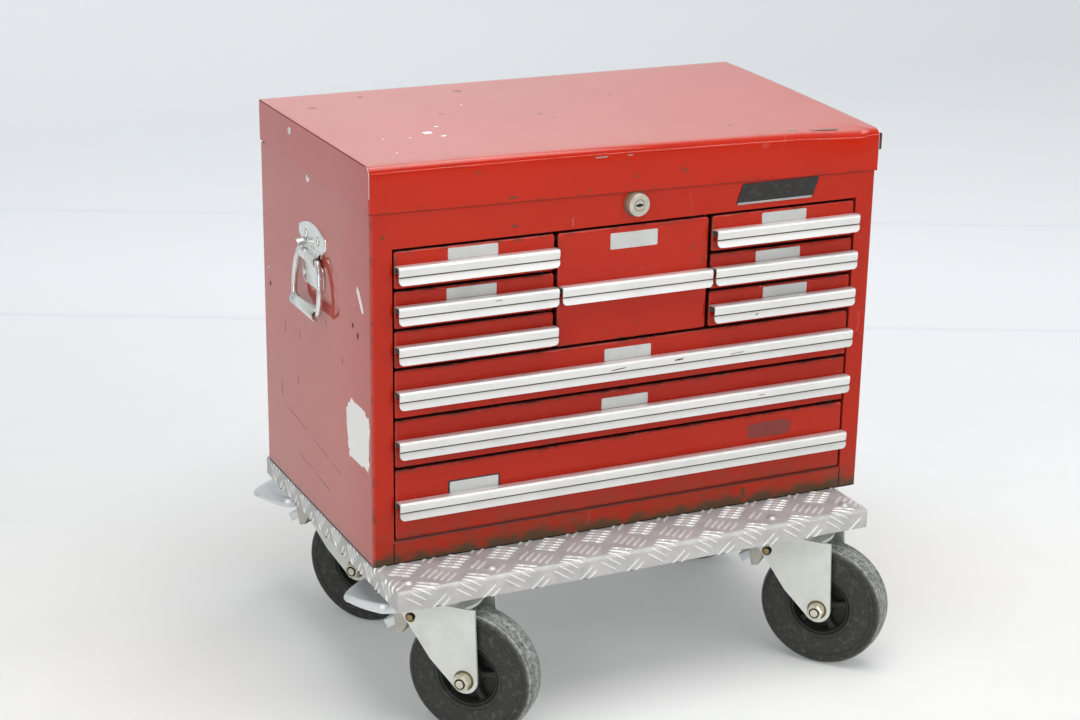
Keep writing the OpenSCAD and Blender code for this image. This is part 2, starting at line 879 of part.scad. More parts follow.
module brake(i) {
    tip_z = pin_z + pedal_tip_rise;
    root_z = pin_z + pedal_root_rise;
    color(STEEL) at_caster(i) difference() {
        union() {
            translate([pin_u, 0, pin_z]) axle_rod(tube_r, 2 * leg_in - 3);
            sweep_axle(lever_w) polygon([
                [pin_u, pin_z + tube_r - pedal_t], [pin_u, pin_z + tube_r],
                [-pedal_root - pedal_lap, root_z], [-pedal_root - pedal_lap, root_z - pedal_t]
            ]);
            intersection() {
                pedal_plan();
                union() {
                    sweep_axle(pedal_w) polygon([
                        [-pedal_root, root_z], [-pedal_tip, tip_z],
                        [-pedal_tip, tip_z - pedal_t], [-pedal_root, root_z - pedal_t]
                    ]);
                    for (s = [-1, 1])
                        translate([0, s * (pedal_w - pedal_t) / 2, 0]) sweep_axle(pedal_t) polygon([
                            [-pedal_root, root_z], [-pedal_tip, tip_z],
                            [-pedal_tip, tip_z - pedal_t], [-pedal_mid, root_z - pedal_flange],
                            [-pedal_root, root_z - pedal_flange]
                        ]);
                }
            }
            sweep_axle(lever_w) polygon([for (p = JAW) [pin_u, pin_z] + tube_r * p]);
            sweep_axle(tab_w) polygon([for (p = TAB) [pin_u, pin_z] + tube_r * p]);
        }
        translate([pin_u, 0, pin_z]) axle_rod(pin_r + fit, 2 * leg_in);
    }
}

module rim(i) {
    color(BLACK) at_caster(i) translate([trail, 0, axle_z]) rotate([90, 0, 0]) difference() {
        union() {
            cylinder(r = hub_r, h = hub_l, center = true);
            cylinder(r = rim_r - rim_t / 2, h = web_t, center = true);
            difference() {
                cylinder(r = rim_r, h = rim_w, center = true);
                cylinder(r = rim_r - rim_t, h = rim_w + 2, center = true);
            }
            for (k = [0 : ribs - 1])
                rotate([0, 0, k * 360 / ribs]) translate([0, -rib_t / 2, -rib_w / 2])
                    cube([rim_r - rim_t / 2, rib_t, rib_w]);
        }
        cylinder(r = axle_r + fit, h = hub_l + 2, center = true);
    }
}

module tyre(i) {
    half = tyre_w / 2;
    s = tyre_shoulder;
    near = [
        [rim_r, rim_w / 2], [rim_r + tyre_bead, half], [wheel_r - s, half],
        [wheel_r - 0.36 * s, half - 0.5 * s], [wheel_r - 0.09 * s, half - 1.29 * s],
        [wheel_r, half - 2.14 * s]
    ];
    far = [for (k = [len(near) - 1 : -1 : 0]) [near[k][0], -near[k][1]]];
    color(BLACK) at_caster(i) translate([trail, 0, axle_z]) rotate([90, 0, 0])
        rotate_extrude() polygon(concat(near, far));
}

module fork_front_left() {
    fork(0);
}

module fork_front_right() {
    fork(1);
}

module fork_rear_left() {
    fork(2);
}

module fork_rear_right() {
    fork(3);
}

module axle_front_left() {
    axle(0);
}

module axle_front_right() {
    axle(1);
}

module axle_rear_left() {
    axle(2);
}

module axle_rear_right() {
    axle(3);
}

module brake_front_left() {
    brake(0);
}

module brake_front_right() {
    brake(1);
}

module brake_rear_left() {
    brake(2);
}

module brake_rear_right() {
    brake(3);
}

module rim_front_left() {
    rim(0);
}

module rim_front_right() {
    rim(1);
}

module rim_rear_left() {
    rim(2);
}

module rim_rear_right() {
    rim(3);
}

module tyre_front_left() {
    tyre(0);
}

module tyre_front_right() {
    tyre(1);
}

module tyre_rear_left() {
    tyre(2);
}

module tyre_rear_right() {
    tyre(3);
}

deck_plate();
caster_plates();
caster_bolts();
base_pan();
side_panel_left();
side_panel_right();
back_panel();
bottom_rail();
top_rail();
till_floor();
inner_walls();
drawer_channels();
lock_barrel();
lock_plug();
handle_plates();
handle_bail_left();
handle_bail_right();
hinge_leaf_body();
hinge_leaf_lid();
lid_shell();
drawer_left_top();
drawer_left_mid();
drawer_left_low();
drawer_centre();
drawer_right_top();
drawer_right_mid();
drawer_right_low();
drawer_wide_top();
drawer_wide_mid();
drawer_wide_deep();
pull_left_top();
pull_left_mid();
pull_left_low();
pull_centre();
pull_right_top();
pull_right_mid();
pull_right_low();
pull_wide_top();
pull_wide_mid();
pull_wide_deep();
fork_front_left();
fork_front_right();
fork_rear_left();
fork_rear_right();
axle_front_left();
axle_front_right();
axle_rear_left();
axle_rear_right();
brake_front_left();
brake_front_right();
brake_rear_left();
brake_rear_right();
rim_front_left();
rim_front_right();
rim_rear_left();
rim_rear_right();
tyre_front_left();
tyre_front_right();
tyre_rear_left();
tyre_rear_right();
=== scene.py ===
"""Looks of a worn red tool chest with ten drawers on a tread-plate dolly with braked casters."""

import json
import math

import bpy
import numpy as np
from mathutils import Matrix, Vector


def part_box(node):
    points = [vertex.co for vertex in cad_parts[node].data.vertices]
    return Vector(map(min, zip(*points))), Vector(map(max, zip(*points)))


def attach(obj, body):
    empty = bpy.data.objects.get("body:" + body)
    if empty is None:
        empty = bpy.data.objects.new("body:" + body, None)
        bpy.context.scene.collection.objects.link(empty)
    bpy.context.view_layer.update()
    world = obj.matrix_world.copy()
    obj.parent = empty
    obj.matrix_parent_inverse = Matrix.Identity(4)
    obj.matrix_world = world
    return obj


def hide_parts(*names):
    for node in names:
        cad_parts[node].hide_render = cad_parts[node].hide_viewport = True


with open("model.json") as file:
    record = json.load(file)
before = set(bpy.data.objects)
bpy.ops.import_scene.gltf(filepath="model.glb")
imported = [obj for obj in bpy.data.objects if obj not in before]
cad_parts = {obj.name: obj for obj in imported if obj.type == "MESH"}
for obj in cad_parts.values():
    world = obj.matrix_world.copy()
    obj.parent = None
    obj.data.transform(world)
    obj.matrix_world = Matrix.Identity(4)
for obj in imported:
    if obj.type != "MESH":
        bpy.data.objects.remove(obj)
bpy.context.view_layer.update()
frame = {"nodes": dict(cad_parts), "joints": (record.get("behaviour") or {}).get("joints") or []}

# Shapes are worked out in millimetres and put into the scene in metres
MM = 0.001
UP = np.array([0, 0, 1.0])

DRAWERS = [
    "left_top", "left_mid", "left_low", "centre", "right_top",
    "right_mid", "right_low", "wide_top", "wide_mid", "wide_deep",
]
CASTERS = ["front_left", "front_right", "rear_left", "rear_right"]
JOINTS = {j["name"]: j for j in frame["joints"]}


# Mesh building

def node_box(node):
    """Lowest and highest corner of a CAD node, in millimetres."""
    low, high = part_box(node)
    return np.array(low) / MM, np.array(high) / MM


def quads(rows, cols, wrap_rows=False, wrap_cols=False):
    """Corner indices of the quads of a grid of rows x cols points, closed where it wraps."""
    r, c = np.meshgrid(
        np.arange(rows if wrap_rows else rows - 1),
        np.arange(cols if wrap_cols else cols - 1),
        indexing="ij",
    )
    r2, c2 = (r + 1) % rows, (c + 1) % cols
    corners = [r * cols + c, r * cols + c2, r2 * cols + c2, r2 * cols + c]
    return np.stack(corners, -1).reshape(-1, 4)


def loft(rings):
    """Closed shell through a stack of closed rings (rings, points, 3) with flat end caps."""
    rings = np.asarray(rings, float)
    rows, cols, _ = rings.shape
    first = np.arange(cols)[::-1][None]
    last = (np.arange(cols) + (rows - 1) * cols)[None]
    return rings.reshape(-1, 3), [quads(rows, cols, wrap_cols=True), first, last]


def ring_loft(rings):
    """Closed shell of a stack of closed rings whose last ring joins the first."""
    rings = np.asarray(rings, float)
    rows, cols, _ = rings.shape
    return rings.reshape(-1, 3), [quads(rows, cols, True, True)]


def sheet_shell(grid, thickness):
    """Closed shell of a sheet: the grid and its copy one thickness along the normal, joined round the rim.

    The normal is the cross product of the grid's differences along its two directions.
    """
    rows, cols, _ = grid.shape
    normal = np.cross(np.gradient(grid, axis=0), np.gradient(grid, axis=1))
    normal /= np.linalg.norm(normal, axis=-1, keepdims=True) + 1e-12
    points = np.concatenate([grid.reshape(-1, 3), (grid - thickness * normal).reshape(-1, 3)])
    index = np.arange(rows * cols).reshape(rows, cols)
    rim = np.concatenate([index[0, :-1], index[:-1, -1], index[-1, :0:-1], index[:0:-1, 0]])
    after = np.roll(rim, -1)
    front = quads(rows, cols)
    back = front[:, ::-1] + rows * cols
    edge = np.stack([after, rim, rim + rows * cols, after + rows * cols], -1)
    return points, [front, back, edge]


def facing_out(points, groups):
    """The face groups, turned over where the volume that they close comes out negative."""
    volume = 0.0
    for group in groups:
        a = points[group[:, :1]]
        b, c = points[group[:, 1:-1]], points[group[:, 2:]]
        volume += np.einsum("fkj,fkj->", np.broadcast_to(a, b.shape), np.cross(b, c))
    return groups if volume >= 0 else [g[:, ::-1] for g in groups]


def put(name, shells, material, body, smooth=32, replaces=(), masks=None):
    """One piece from closed shells in millimetres of the row frame, riding on a body.

    masks holds one array of point values per shell; it becomes the point attribute of wear and
    painted shade.
    """
    points, corners, counts, start = [], [], [], 0
    for shell_points, groups in shells:
        for group in facing_out(shell_points, groups):
            corners.append((group + start).ravel())
            counts.append(np.full(len(group), group.shape[1]))
        points.append(shell_points)
        start += len(shell_points)
    points = np.concatenate(points)
    corners, counts = np.concatenate(corners), np.concatenate(counts)
    mesh = bpy.data.meshes.new(name)
    mesh.vertices.add(len(points))
    mesh.vertices.foreach_set("co", (points * MM).astype(np.float32).ravel())
    mesh.loops.add(len(corners))
    mesh.loops.foreach_set("vertex_index", corners.astype(np.int32))
    mesh.polygons.add(len(counts))
    mesh.polygons.foreach_set("loop_start", (np.cumsum(counts) - counts).astype(np.int32))
    mesh.update(calc_edges=True)
    if masks is not None:
        wear_and_shade = mesh.attributes.new("wear_and_shade", "FLOAT", "POINT")
        wear_and_shade.data.foreach_set("value", np.concatenate(masks).astype(np.float32))
    mesh.shade_smooth()
    mesh.set_sharp_from_angle(angle=math.radians(smooth))
    mesh.materials.append(material)
    piece = bpy.data.objects.new(name, mesh)
    bpy.context.scene.collection.objects.link(piece)
    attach(piece, body)
    if replaces:
        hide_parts(*replaces)
    return piece


def dress(node, material, edge=0.0):
    """Gives a CAD node its material and, where edge is set, a rounded edge of that many millimetres."""
    piece = frame["nodes"][node]
    piece.data.materials.clear()
    piece.data.materials.append(material)
    if edge:
        weld = piece.modifiers.new("weld", "WELD")
        weld.merge_threshold = 0.00002
        bevel = piece.modifiers.new("edge", "BEVEL")
        bevel.width = edge * MM
        bevel.segments = 3
        bevel.limit_method = "ANGLE"
        bevel.angle_limit = math.radians(40)
        bevel.use_clamp_overlap = True
        bevel.harden_normals = False


# Parametric forms

def quarter(steps):
    """Angles of a quarter turn, both ends included."""
    return np.linspace(0, math.pi / 2, steps)


def full_turn(steps):
    """Angles of a full turn without its end."""
    return np.linspace(0, 2 * math.pi, steps, endpoint=False)


def squared(v, power):
    """Signed power sign(v) |v|^power, which turns a circle into a rounded box."""
    return np.sign(v) * np.abs(v) ** power


def rounded_ring(a0, a1, b0, b1, r, steps=6):
    """Rounded rectangle: four arcs r (cos t, sin t) about the corners moved in by r, as (points, 2)."""
    t = quarter(steps)
    arc = np.stack([np.cos(t), np.sin(t)], -1) * r
    turn = lambda v: np.stack([-v[:, 1], v[:, 0]], -1)
    arcs = [arc, turn(arc), turn(turn(arc)), turn(turn(turn(arc)))]
    centres = [(a1 - r, b1 - r), (a0 + r, b1 - r), (a0 + r, b0 + r), (a1 - r, b0 + r)]
    return np.concatenate([v + np.array(c) for v, c in zip(arcs, centres)])


def block(low, high):
    """Box between two corners as a loft of two rectangles along Z."""
    (x0, y0, z0), (x1, y1, z1) = low, high
    base = np.array([[x0, y0], [x1, y0], [x1, y1], [x0, y1]], float)
    rings = [np.column_stack([base, np.full(4, z)]) for z in (z0, z1)]
    return loft(rings)


def formed_panel(x0, x1, z0, z1, face_y, depth, bend, corner):
    """Pressed panel that faces -Y, and its mask of rubbed edges and painted gap shade.

    Rings of a rounded rectangle run from the back edge to the bend, where ring t is moved in by
    bend (1 - cos t) and forward by bend sin t, and then a little way onto the flat face.
    """
    t = quarter(6)
    inset = np.concatenate([[0], bend * (1 - np.cos(t)), [bend + 1.5, bend + 5]])
    y = np.concatenate([[face_y + depth], face_y + bend * (1 - np.sin(t)), [face_y, face_y]])
    # The back of the return reads 2 and the bend's start 1.7: painted shade in the gaps; the bend is rubbed wear
    mask = np.concatenate([[2.0, 1.7], np.sin(2 * t[1:]) * 0.4 + 0.6, [0.25, 0.0]])
    rings, masks = [], []
    for d, level, m in zip(inset, y, mask):
        ring = rounded_ring(x0 + d, x1 - d, z0 + d, z1 - d, max(corner - d, 0.6))
        rings.append(np.column_stack([ring[:, 0], np.full(len(ring), level), ring[:, 1]]))
        masks.append(np.full(len(ring), m))
    return loft(rings), np.concatenate(masks)


def smooth_path(points, count):
    """Catmull-Rom curve through points: on each span 0.5 (2b + (c-a)t + (2a-5b+4c-d)t2 + (3b-a-3c+d)t3)."""
    p = np.asarray(points, float)
    p = np.concatenate([2 * p[:1] - p[1:2], p, 2 * p[-1:] - p[-2:-1]])
    s = np.linspace(0, len(p) - 3, count)
    k = np.minimum(s.astype(int), len(p) - 4)
    t = (s - k)[:, None]
    a, b, c, d = p[k], p[k + 1], p[k + 2], p[k + 3]
    return 0.5 * (2 * b + (c - a) * t + (2 * a - 5 * b + 4 * c - d) * t**2 + (3 * b - a - 3 * c + d) * t**3)


def revolved(profile, centre, axle, steps=96):
    """Closed profile of (radius, distance along the axle) turned about the axle through centre."""
    axle = np.asarray(axle, float)
    side = np.cross(UP, axle)
    t = full_turn(steps)
    spoke = np.cos(t)[:, None] * side + np.sin(t)[:, None] * UP
    r, v = profile[:, 0], profile[:, 1]
    rings = centre + r[None, :, None] * spoke[:, None, :] + v[None, :, None] * axle
    return ring_loft(rings)


def disc_profile(radius, half, edge, inner):
    """Section of a disc of given radius and half thickness with an edge radius, from a bore radius out."""
    t = quarter(5)
    out = np.stack([radius - edge + edge * np.sin(t), half - edge + edge * np.cos(t)], -1)
    back = np.stack([radius - edge + edge * np.cos(t), -(half - edge) - edge * np.sin(t)], -1)
    return np.concatenate([[[inner, half]], out, back, [[inner, -half]]])


def dome(centre, normal, radius, height, steps=20):
    """Rivet or bolt head: rings of radius r cos t raised by h sin t along the normal, with a short skirt."""
    normal = np.asarray(normal, float)
    helper = UP if abs(normal[2]) < 0.9 else np.array([1.0, 0, 0])
    a = np.cross(normal, helper)
    a /= np.linalg.norm(a)
    b = np.cross(normal, a)
    t = full_turn(steps)
    around = np.cos(t)[:, None] * a + np.sin(t)[:, None] * b
    lift = np.linspace(0, math.radians(84), 7)
    r = np.concatenate([[radius], radius * np.cos(lift)])
    h = np.concatenate([[-0.6], height * (0.18 + 0.82 * np.sin(lift))])
    rings = centre + r[:, None, None] * around + h[:, None, None] * normal
    return loft(rings)


def swept(path, width, thick, across, steps=20):
    """Bar along a path with a flattened oval section.

    Section point t lies at width cos t along the in-plane side and thick sin t along the normal, both
    with the signed power 0.8. across is the normal of the path's plane.
    """
    tangent = np.gradient(path, axis=0)
    tangent /= np.linalg.norm(tangent, axis=1, keepdims=True)
    side = np.cross(tangent, across)
    t = full_turn(steps)
    c, s = squared(np.cos(t), 0.8)[:, None], squared(np.sin(t), 0.8)[:, None]
    rings = path[:, None, :] + width * c * side[:, None, :] + thick * s * across
    return loft(rings)


def drawn_in(outline, d):
    """Closed outline of (a, b) moved in by d along the normal of the chord between each point's neighbours."""
    after, before = np.roll(outline, -1, axis=0), np.roll(outline, 1, axis=0)
    chord = after - before
    chord /= np.linalg.norm(chord, axis=1, keepdims=True)
    area = np.sum(outline[:, 0] * after[:, 1] - outline[:, 1] * after[:, 0])
    return outline + d * np.sign(area) * np.stack([-chord[:, 1], chord[:, 0]], -1)


def slab(outline, v0, v1, edge, steps=4):
    """Plate with rounded edges from an outline of (a, b), as rings of (a, v, b).

    Towards each face the outline is drawn in by edge (1 - sin t) while v runs in by edge (1 - cos t).
    """
    t = quarter(steps)
    draw = edge * (1 - np.sin(t))
    step = edge * (1 - np.cos(t))
    rings = []
    for d, v in zip(np.concatenate([draw, draw[::-1]]), np.concatenate([v0 + step, (v1 - step)[::-1]])):
        ring = drawn_in(outline, d)
        rings.append(np.column_stack([ring[:, 0], np.full(len(ring), v), ring[:, 1]]))
    return np.stack(rings)


def eased(v, start, end):
    """Smooth step 3t2 - 2t3 from 0 at start to 1 at end."""
    t = np.clip((v - start) / (end - start), 0, 1)
    return t * t * (3 - 2 * t)


# Materials

def add(tree, kind, inputs=None, **settings):
    """A shader node with its settings, its sockets filled with values or linked from other sockets."""
    made = tree.nodes.new(kind)
    for key, value in settings.items():
        setattr(made, key, value)
    for key, value in (inputs or {}).items():
        if isinstance(value, bpy.types.NodeSocket):
            tree.links.new(value, made.inputs[key])
        else:
            made.inputs[key].default_value = value
    return made


def ramp(tree, value, start, end, low=0.0, high=1.0):
    """Straight change from low to high as the value goes from start to end."""
    inputs = {"Value": value, "From Min": start, "From Max": end, "To Min": low, "To Max": high}
    return add(tree, "ShaderNodeMapRange", inputs).outputs["Result"]


def maths(tree, operation, a, b=0.0):
    """One arithmetic step on two values."""
    return add(tree, "ShaderNodeMath", {0: a, 1: b}, operation=operation).outputs[0]


def mix(tree, amount, a, b):
    """Colour a turning into colour b by the amount."""
    return add(tree, "ShaderNodeMix", {0: amount, 6: a, 7: b}, data_type="RGBA").outputs[2]


def noise(tree, at, scale, detail=3.0, rough=0.55):
    """Fractal noise at the given coordinates, in cells per metre."""
    inputs = {"Vector": at, "Scale": scale, "Detail": detail, "Roughness": rough}
    return add(tree, "ShaderNodeTexNoise", inputs).outputs["Fac"]


def group(name, inputs, outputs):
    """Empty shader node group with float sockets; returns the tree, its inputs and its output node."""
    tree = bpy.data.node_groups.new(name, "ShaderNodeTree")
    for label, value in inputs.items():
        socket = tree.interface.new_socket(label, in_out="INPUT", socket_type="NodeSocketFloat")
        socket.default_value = value
    for label in outputs:
        tree.interface.new_socket(label, in_out="OUTPUT", socket_type="NodeSocketFloat")
    source = tree.nodes.new("NodeGroupInput")
    return tree, source.outputs, tree.nodes.new("NodeGroupOutput")


def scratch_group():
    """Fine scratches and chips: edges of warped cells, shown only where a coarse noise allows them."""
    tree, inside, out = group("scratches", {"Scale": 12.0, "Amount": 0.5}, ["Lines", "Chips"])
    at = add(tree, "ShaderNodeTexCoord").outputs["Object"]
    warp = add(tree, "ShaderNodeTexNoise", {"Vector": at, "Scale": 7.0, "Detail": 2.0}).outputs["Color"]
    moved = add(tree, "ShaderNodeVectorMath", {0: warp, "Scale": 0.16}, operation="SCALE").outputs[0]
    place = add(tree, "ShaderNodeVectorMath", {0: at, 1: moved}, operation="ADD").outputs[0]
    cells = add(
        tree, "ShaderNodeTexVoronoi", {"Vector": place, "Scale": inside["Scale"]}, feature="DISTANCE_TO_EDGE"
    ).outputs["Distance"]
    line = ramp(tree, cells, 0.004, 0.012, 1.0, 0.0)
    where = ramp(tree, noise(tree, at, 9.0, 4.0), 0.58, 0.64)
    lines = maths(tree, "MULTIPLY", maths(tree, "MULTIPLY", line, where), inside["Amount"])
    spots = ramp(tree, noise(tree, at, 150.0, 3.0, 0.6), 0.735, 0.76)
    sparse = ramp(tree, noise(tree, at, 14.0, 2.0), 0.5, 0.62)
    chips = maths(tree, "MULTIPLY", maths(tree, "MULTIPLY", spots, sparse), inside["Amount"])
    tree.links.new(lines, out.inputs["Lines"])
    tree.links.new(chips, out.inputs["Chips"])
    return tree


def grime_group():
    """Brown dirt: strongest at the foot height of front faces and fading upwards, broken up by noise."""
    tree, inside, out = group("grime", {"Foot": 0.21, "Reach": 0.06, "Amount": 0.6}, ["Mask"])
    at = add(tree, "ShaderNodeTexCoord").outputs["Object"]
    height = add(tree, "ShaderNodeSeparateXYZ", {0: at}).outputs["Z"]
    above = maths(tree, "DIVIDE", maths(tree, "SUBTRACT", height, inside["Foot"]), inside["Reach"])
    shape = add(tree, "ShaderNodeNewGeometry").outputs["True Normal"]
    facing = add(tree, "ShaderNodeSeparateXYZ", {0: shape}).outputs["Y"]
    front = ramp(tree, facing, -0.3, -0.8, 0.12, 1.0)
    fade = maths(tree, "MULTIPLY", ramp(tree, above, 0.0, 1.0, 1.0, 0.0), front)
    cloud = ramp(tree, noise(tree, at, 38.0, 6.0, 0.65), 0.36, 0.66)
    film = ramp(tree, noise(tree, at, 11.0, 4.0, 0.6), 0.3, 0.75)
    both = maths(tree, "ADD", maths(tree, "MULTIPLY", cloud, 0.75), maths(tree, "MULTIPLY", film, 0.35))
    mask = maths(tree, "MULTIPLY", maths(tree, "MULTIPLY", fade, both), inside["Amount"])
    tree.links.new(ramp(tree, mask, 0.0, 1.0), out.inputs["Mask"])
    return tree


def fading_and_sheen_group():
    """Pale film of fading and painted sheen on faces that look up or left, and the gloss that is left.

    The film gets thinner to the right and to the front.
    The gloss is full except on faces that look to the front, where hands have rubbed it down.
    """
    tree, inside, out = group("fading_and_sheen", {"Up": 0.4, "Left": 0.2}, ["Mask", "Gloss"])
    shape = add(tree, "ShaderNodeNewGeometry").outputs["True Normal"]
    parts = add(tree, "ShaderNodeSeparateXYZ", {0: shape}).outputs
    up = maths(tree, "MULTIPLY", ramp(tree, parts["Z"], 0.75, 0.99), inside["Up"])
    at = add(tree, "ShaderNodeTexCoord").outputs["Object"]
    place = add(tree, "ShaderNodeSeparateXYZ", {0: at}).outputs
    deeper = ramp(tree, place["Y"], -0.16, -0.06, 0.3, 1.0)
    left = maths(tree, "MULTIPLY", ramp(tree, parts["X"], -0.08, -0.45), inside["Left"])
    left = maths(tree, "MULTIPLY", left, deeper)
    both = maths(tree, "ADD", up, left)
    thinner = ramp(tree, place["X"], -0.2, 0.36, 1.05, 0.68)
    patchy = ramp(tree, noise(tree, at, 5.0, 5.0, 0.6), 0.3, 0.7, 0.93, 1.05)
    film = maths(tree, "MULTIPLY", maths(tree, "MULTIPLY", both, patchy), thinner)
    tree.links.new(film, out.inputs["Mask"])
    tree.links.new(ramp(tree, parts["Y"], -0.97, -0.6, 0.36, 1.0), out.inputs["Gloss"])
    return tree


GROUPS = {"scratches": scratch_group(), "grime": grime_group(), "fading_and_sheen": fading_and_sheen_group()}


def use(tree, name, **inputs):
    """Places one of the shared groups in a material with its own values."""
    made = tree.nodes.new("ShaderNodeGroup")
    made.node_tree = GROUPS[name]
    for key, value in inputs.items():
        made.inputs[key].default_value = value
    return made.outputs


def finish_of(name, **sockets):
    """New material: its tree and its Principled shader with constant sockets set."""
    made = bpy.data.materials.new(name)
    made.use_nodes = True
    shader = made.node_tree.nodes["Principled BSDF"]
    for key, value in sockets.items():
        shader.inputs[key.replace("_", " ")].default_value = value
    return made, made.node_tree, shader


def rgb(r, g, b):
    """Linear colour of three values from 0 to 255 as they read on a screen."""
    v = np.array([r, g, b]) / 255
    linear = np.where(v <= 0.04045, v / 12.92, ((v + 0.055) / 1.055) ** 2.4)
    return (*linear.tolist(), 1.0)


# Pale colour of the film of fading and painted sheen, and the height of the chest's foot in metres
FADE_AND_SHEEN = rgb(248, 202, 192)
FOOT_Z = 0.209


def paint(name, colour, up, left, grime):
    """Old gloss enamel: pale film of fading and painted sheen, scratches, chips to grey metal, brown dirt
    at the foot, a clear coat.

    The point attribute of wear and painted shade shows rubbed edges up to 1 and, from 1 to 2, near black
    painted shade in the gaps between the drawers.
    """
    made, tree, shader = finish_of(name, Specular_IOR_Level=0.0, Coat_Roughness=0.05, Coat_IOR=1.6)
    at = add(tree, "ShaderNodeTexCoord").outputs["Object"]
    tone = ramp(tree, noise(tree, at, 3.2, 4.0, 0.6), 0.3, 0.7)
    deep = (colour[0] * 0.86, colour[1] * 0.75, colour[2] * 0.75, 1.0)
    base = mix(tree, tone, deep, colour)
    film_and_painted_light = use(tree, "fading_and_sheen", Up=up, Left=left)
    # The pale film stands for chalky fading together with painted sheen of the bright room
    base = mix(tree, film_and_painted_light["Mask"], base, FADE_AND_SHEEN)
    tree.links.new(film_and_painted_light["Gloss"], shader.inputs["Coat Weight"])
    marks = use(tree, "scratches", Scale=11.0, Amount=0.55)
    wear_and_shade = add(tree, "ShaderNodeAttribute", attribute_name="wear_and_shade").outputs["Fac"]
    broken = ramp(tree, noise(tree, at, 46.0, 5.0, 0.7), 0.5, 0.62)
    rubbed = maths(tree, "MULTIPLY", ramp(tree, wear_and_shade, 0.0, 1.0), broken)
    base = mix(tree, maths(tree, "MULTIPLY", rubbed, 0.75), base, rgb(92, 44, 32))
    # Near black from the mask's range 1 to 2 is painted shade in the gaps between the drawers
    base = mix(tree, ramp(tree, wear_and_shade, 1.0, 2.0), base, rgb(34, 12, 9))
    base = mix(tree, maths(tree, "MULTIPLY", marks["Lines"], 0.3), base, rgb(206, 128, 118))
    base = mix(tree, marks["Chips"], base, rgb(120, 96, 88))
    dirt = use(tree, "grime", Foot=FOOT_Z, Reach=0.075, Amount=grime)["Mask"]
    base = mix(tree, dirt, base, rgb(96, 66, 46))
    crust = use(tree, "grime", Foot=FOOT_Z, Reach=0.017, Amount=3.4 * grime)["Mask"]
    base = mix(tree, crust, base, rgb(84, 62, 42))
    tree.links.new(base, shader.inputs["Base Color"])
    streak = noise(tree, at, 60.0, 4.0, 0.6)
    rough = maths(tree, "ADD", ramp(tree, streak, 0.3, 0.7, 0.3, 0.36), maths(tree, "MULTIPLY", dirt, 0.3))
    tree.links.new(rough, shader.inputs["Roughness"])
    ripple = noise(tree, at, 9.0, 2.0)
    worn = maths(tree, "SUBTRACT", ripple, maths(tree, "MULTIPLY", marks["Chips"], 0.2))
    bump = add(tree, "ShaderNodeBump", {"Height": worn, "Strength": 0.06, "Distance": 0.002})
    tree.links.new(bump.outputs[0], shader.inputs["Normal"])
    return made


# Brown black of handling dirt on metal, and of painted shade in and under the pulls' rails
METAL_DIRT_AND_SHADE = (0.1, 0.075, 0.05, 1.0)


def metal(name, colour, dark, rough, metallic, cloud=30.0, grime=0.0, chips=0.0):
    """Worn bright metal: cloudy tone, scratches, specks and handling dirt.

    The point attribute of wear and painted shade gives full dirt colour at 1; on the pulls this is
    partly painted shade.
    """
    made, tree, shader = finish_of(name, Metallic=metallic)
    at = add(tree, "ShaderNodeTexCoord").outputs["Object"]
    tone = ramp(tree, noise(tree, at, cloud, 6.0, 0.62), 0.32, 0.68)
    base = mix(tree, tone, dark, colour)
    marks = use(tree, "scratches", Scale=26.0, Amount=chips)
    base = mix(tree, maths(tree, "MULTIPLY", marks["Lines"], 0.5), base, dark)
    base = mix(tree, marks["Chips"], base, METAL_DIRT_AND_SHADE)
    wear_and_shade = add(tree, "ShaderNodeAttribute", attribute_name="wear_and_shade").outputs["Fac"]
    base = mix(tree, wear_and_shade, base, METAL_DIRT_AND_SHADE)
    stain = ramp(tree, noise(tree, at, 24.0, 6.0, 0.7), 0.56, 0.78, 0.0, grime)
    base = mix(tree, stain, base, METAL_DIRT_AND_SHADE)
    tree.links.new(base, shader.inputs["Base Color"])
    fine = noise(tree, at, 170.0, 3.0, 0.6)
    gloss = ramp(tree, fine, 0.3, 0.7, rough - 0.04, rough + 0.05)
    tree.links.new(gloss, shader.inputs["Roughness"])
    bump = add(tree, "ShaderNodeBump", {"Height": fine, "Strength": 0.03, "Distance": 0.0005})
    tree.links.new(bump.outputs[0], shader.inputs["Normal"])
    return made


def rubber(name, colour, dusty, rough):
    """Matt rubber, plastic, paper or dirt with a little dust in a fine grain.

    The attribute wear shows the scuffed parts.
    """
    made, tree, shader = finish_of(name, Specular_IOR_Level=0.35)
    at = add(tree, "ShaderNodeTexCoord").outputs["Object"]
    grain = noise(tree, at, 140.0, 6.0, 0.66)
    dust = ramp(tree, grain, 0.5, 0.78, 0.0, 0.24)
    wear_and_shade = add(tree, "ShaderNodeAttribute", attribute_name="wear_and_shade").outputs["Fac"]
    broken = ramp(tree, noise(tree, at, 190.0, 5.0, 0.7), 0.38, 0.6, 0.3, 1.0)
    scuffed = maths(tree, "MULTIPLY", wear_and_shade, broken)
    base = mix(tree, maths(tree, "MAXIMUM", dust, scuffed), colour, dusty)
    tree.links.new(base, shader.inputs["Base Color"])
    tree.links.new(ramp(tree, grain, 0.3, 0.7, rough - 0.08, rough + 0.12), shader.inputs["Roughness"])
    bump = add(tree, "ShaderNodeBump", {"Height": grain, "Strength": 0.14, "Distance": 0.001})
    tree.links.new(bump.outputs[0], shader.inputs["Normal"])
    return made


RED_PAINT = paint("red_enamel", rgb(185, 38, 13), 0.29, 0.13, 0.9)
RED_LID = paint("red_enamel_lid", rgb(190, 39, 13), 0.29, 0.09, 0.0)
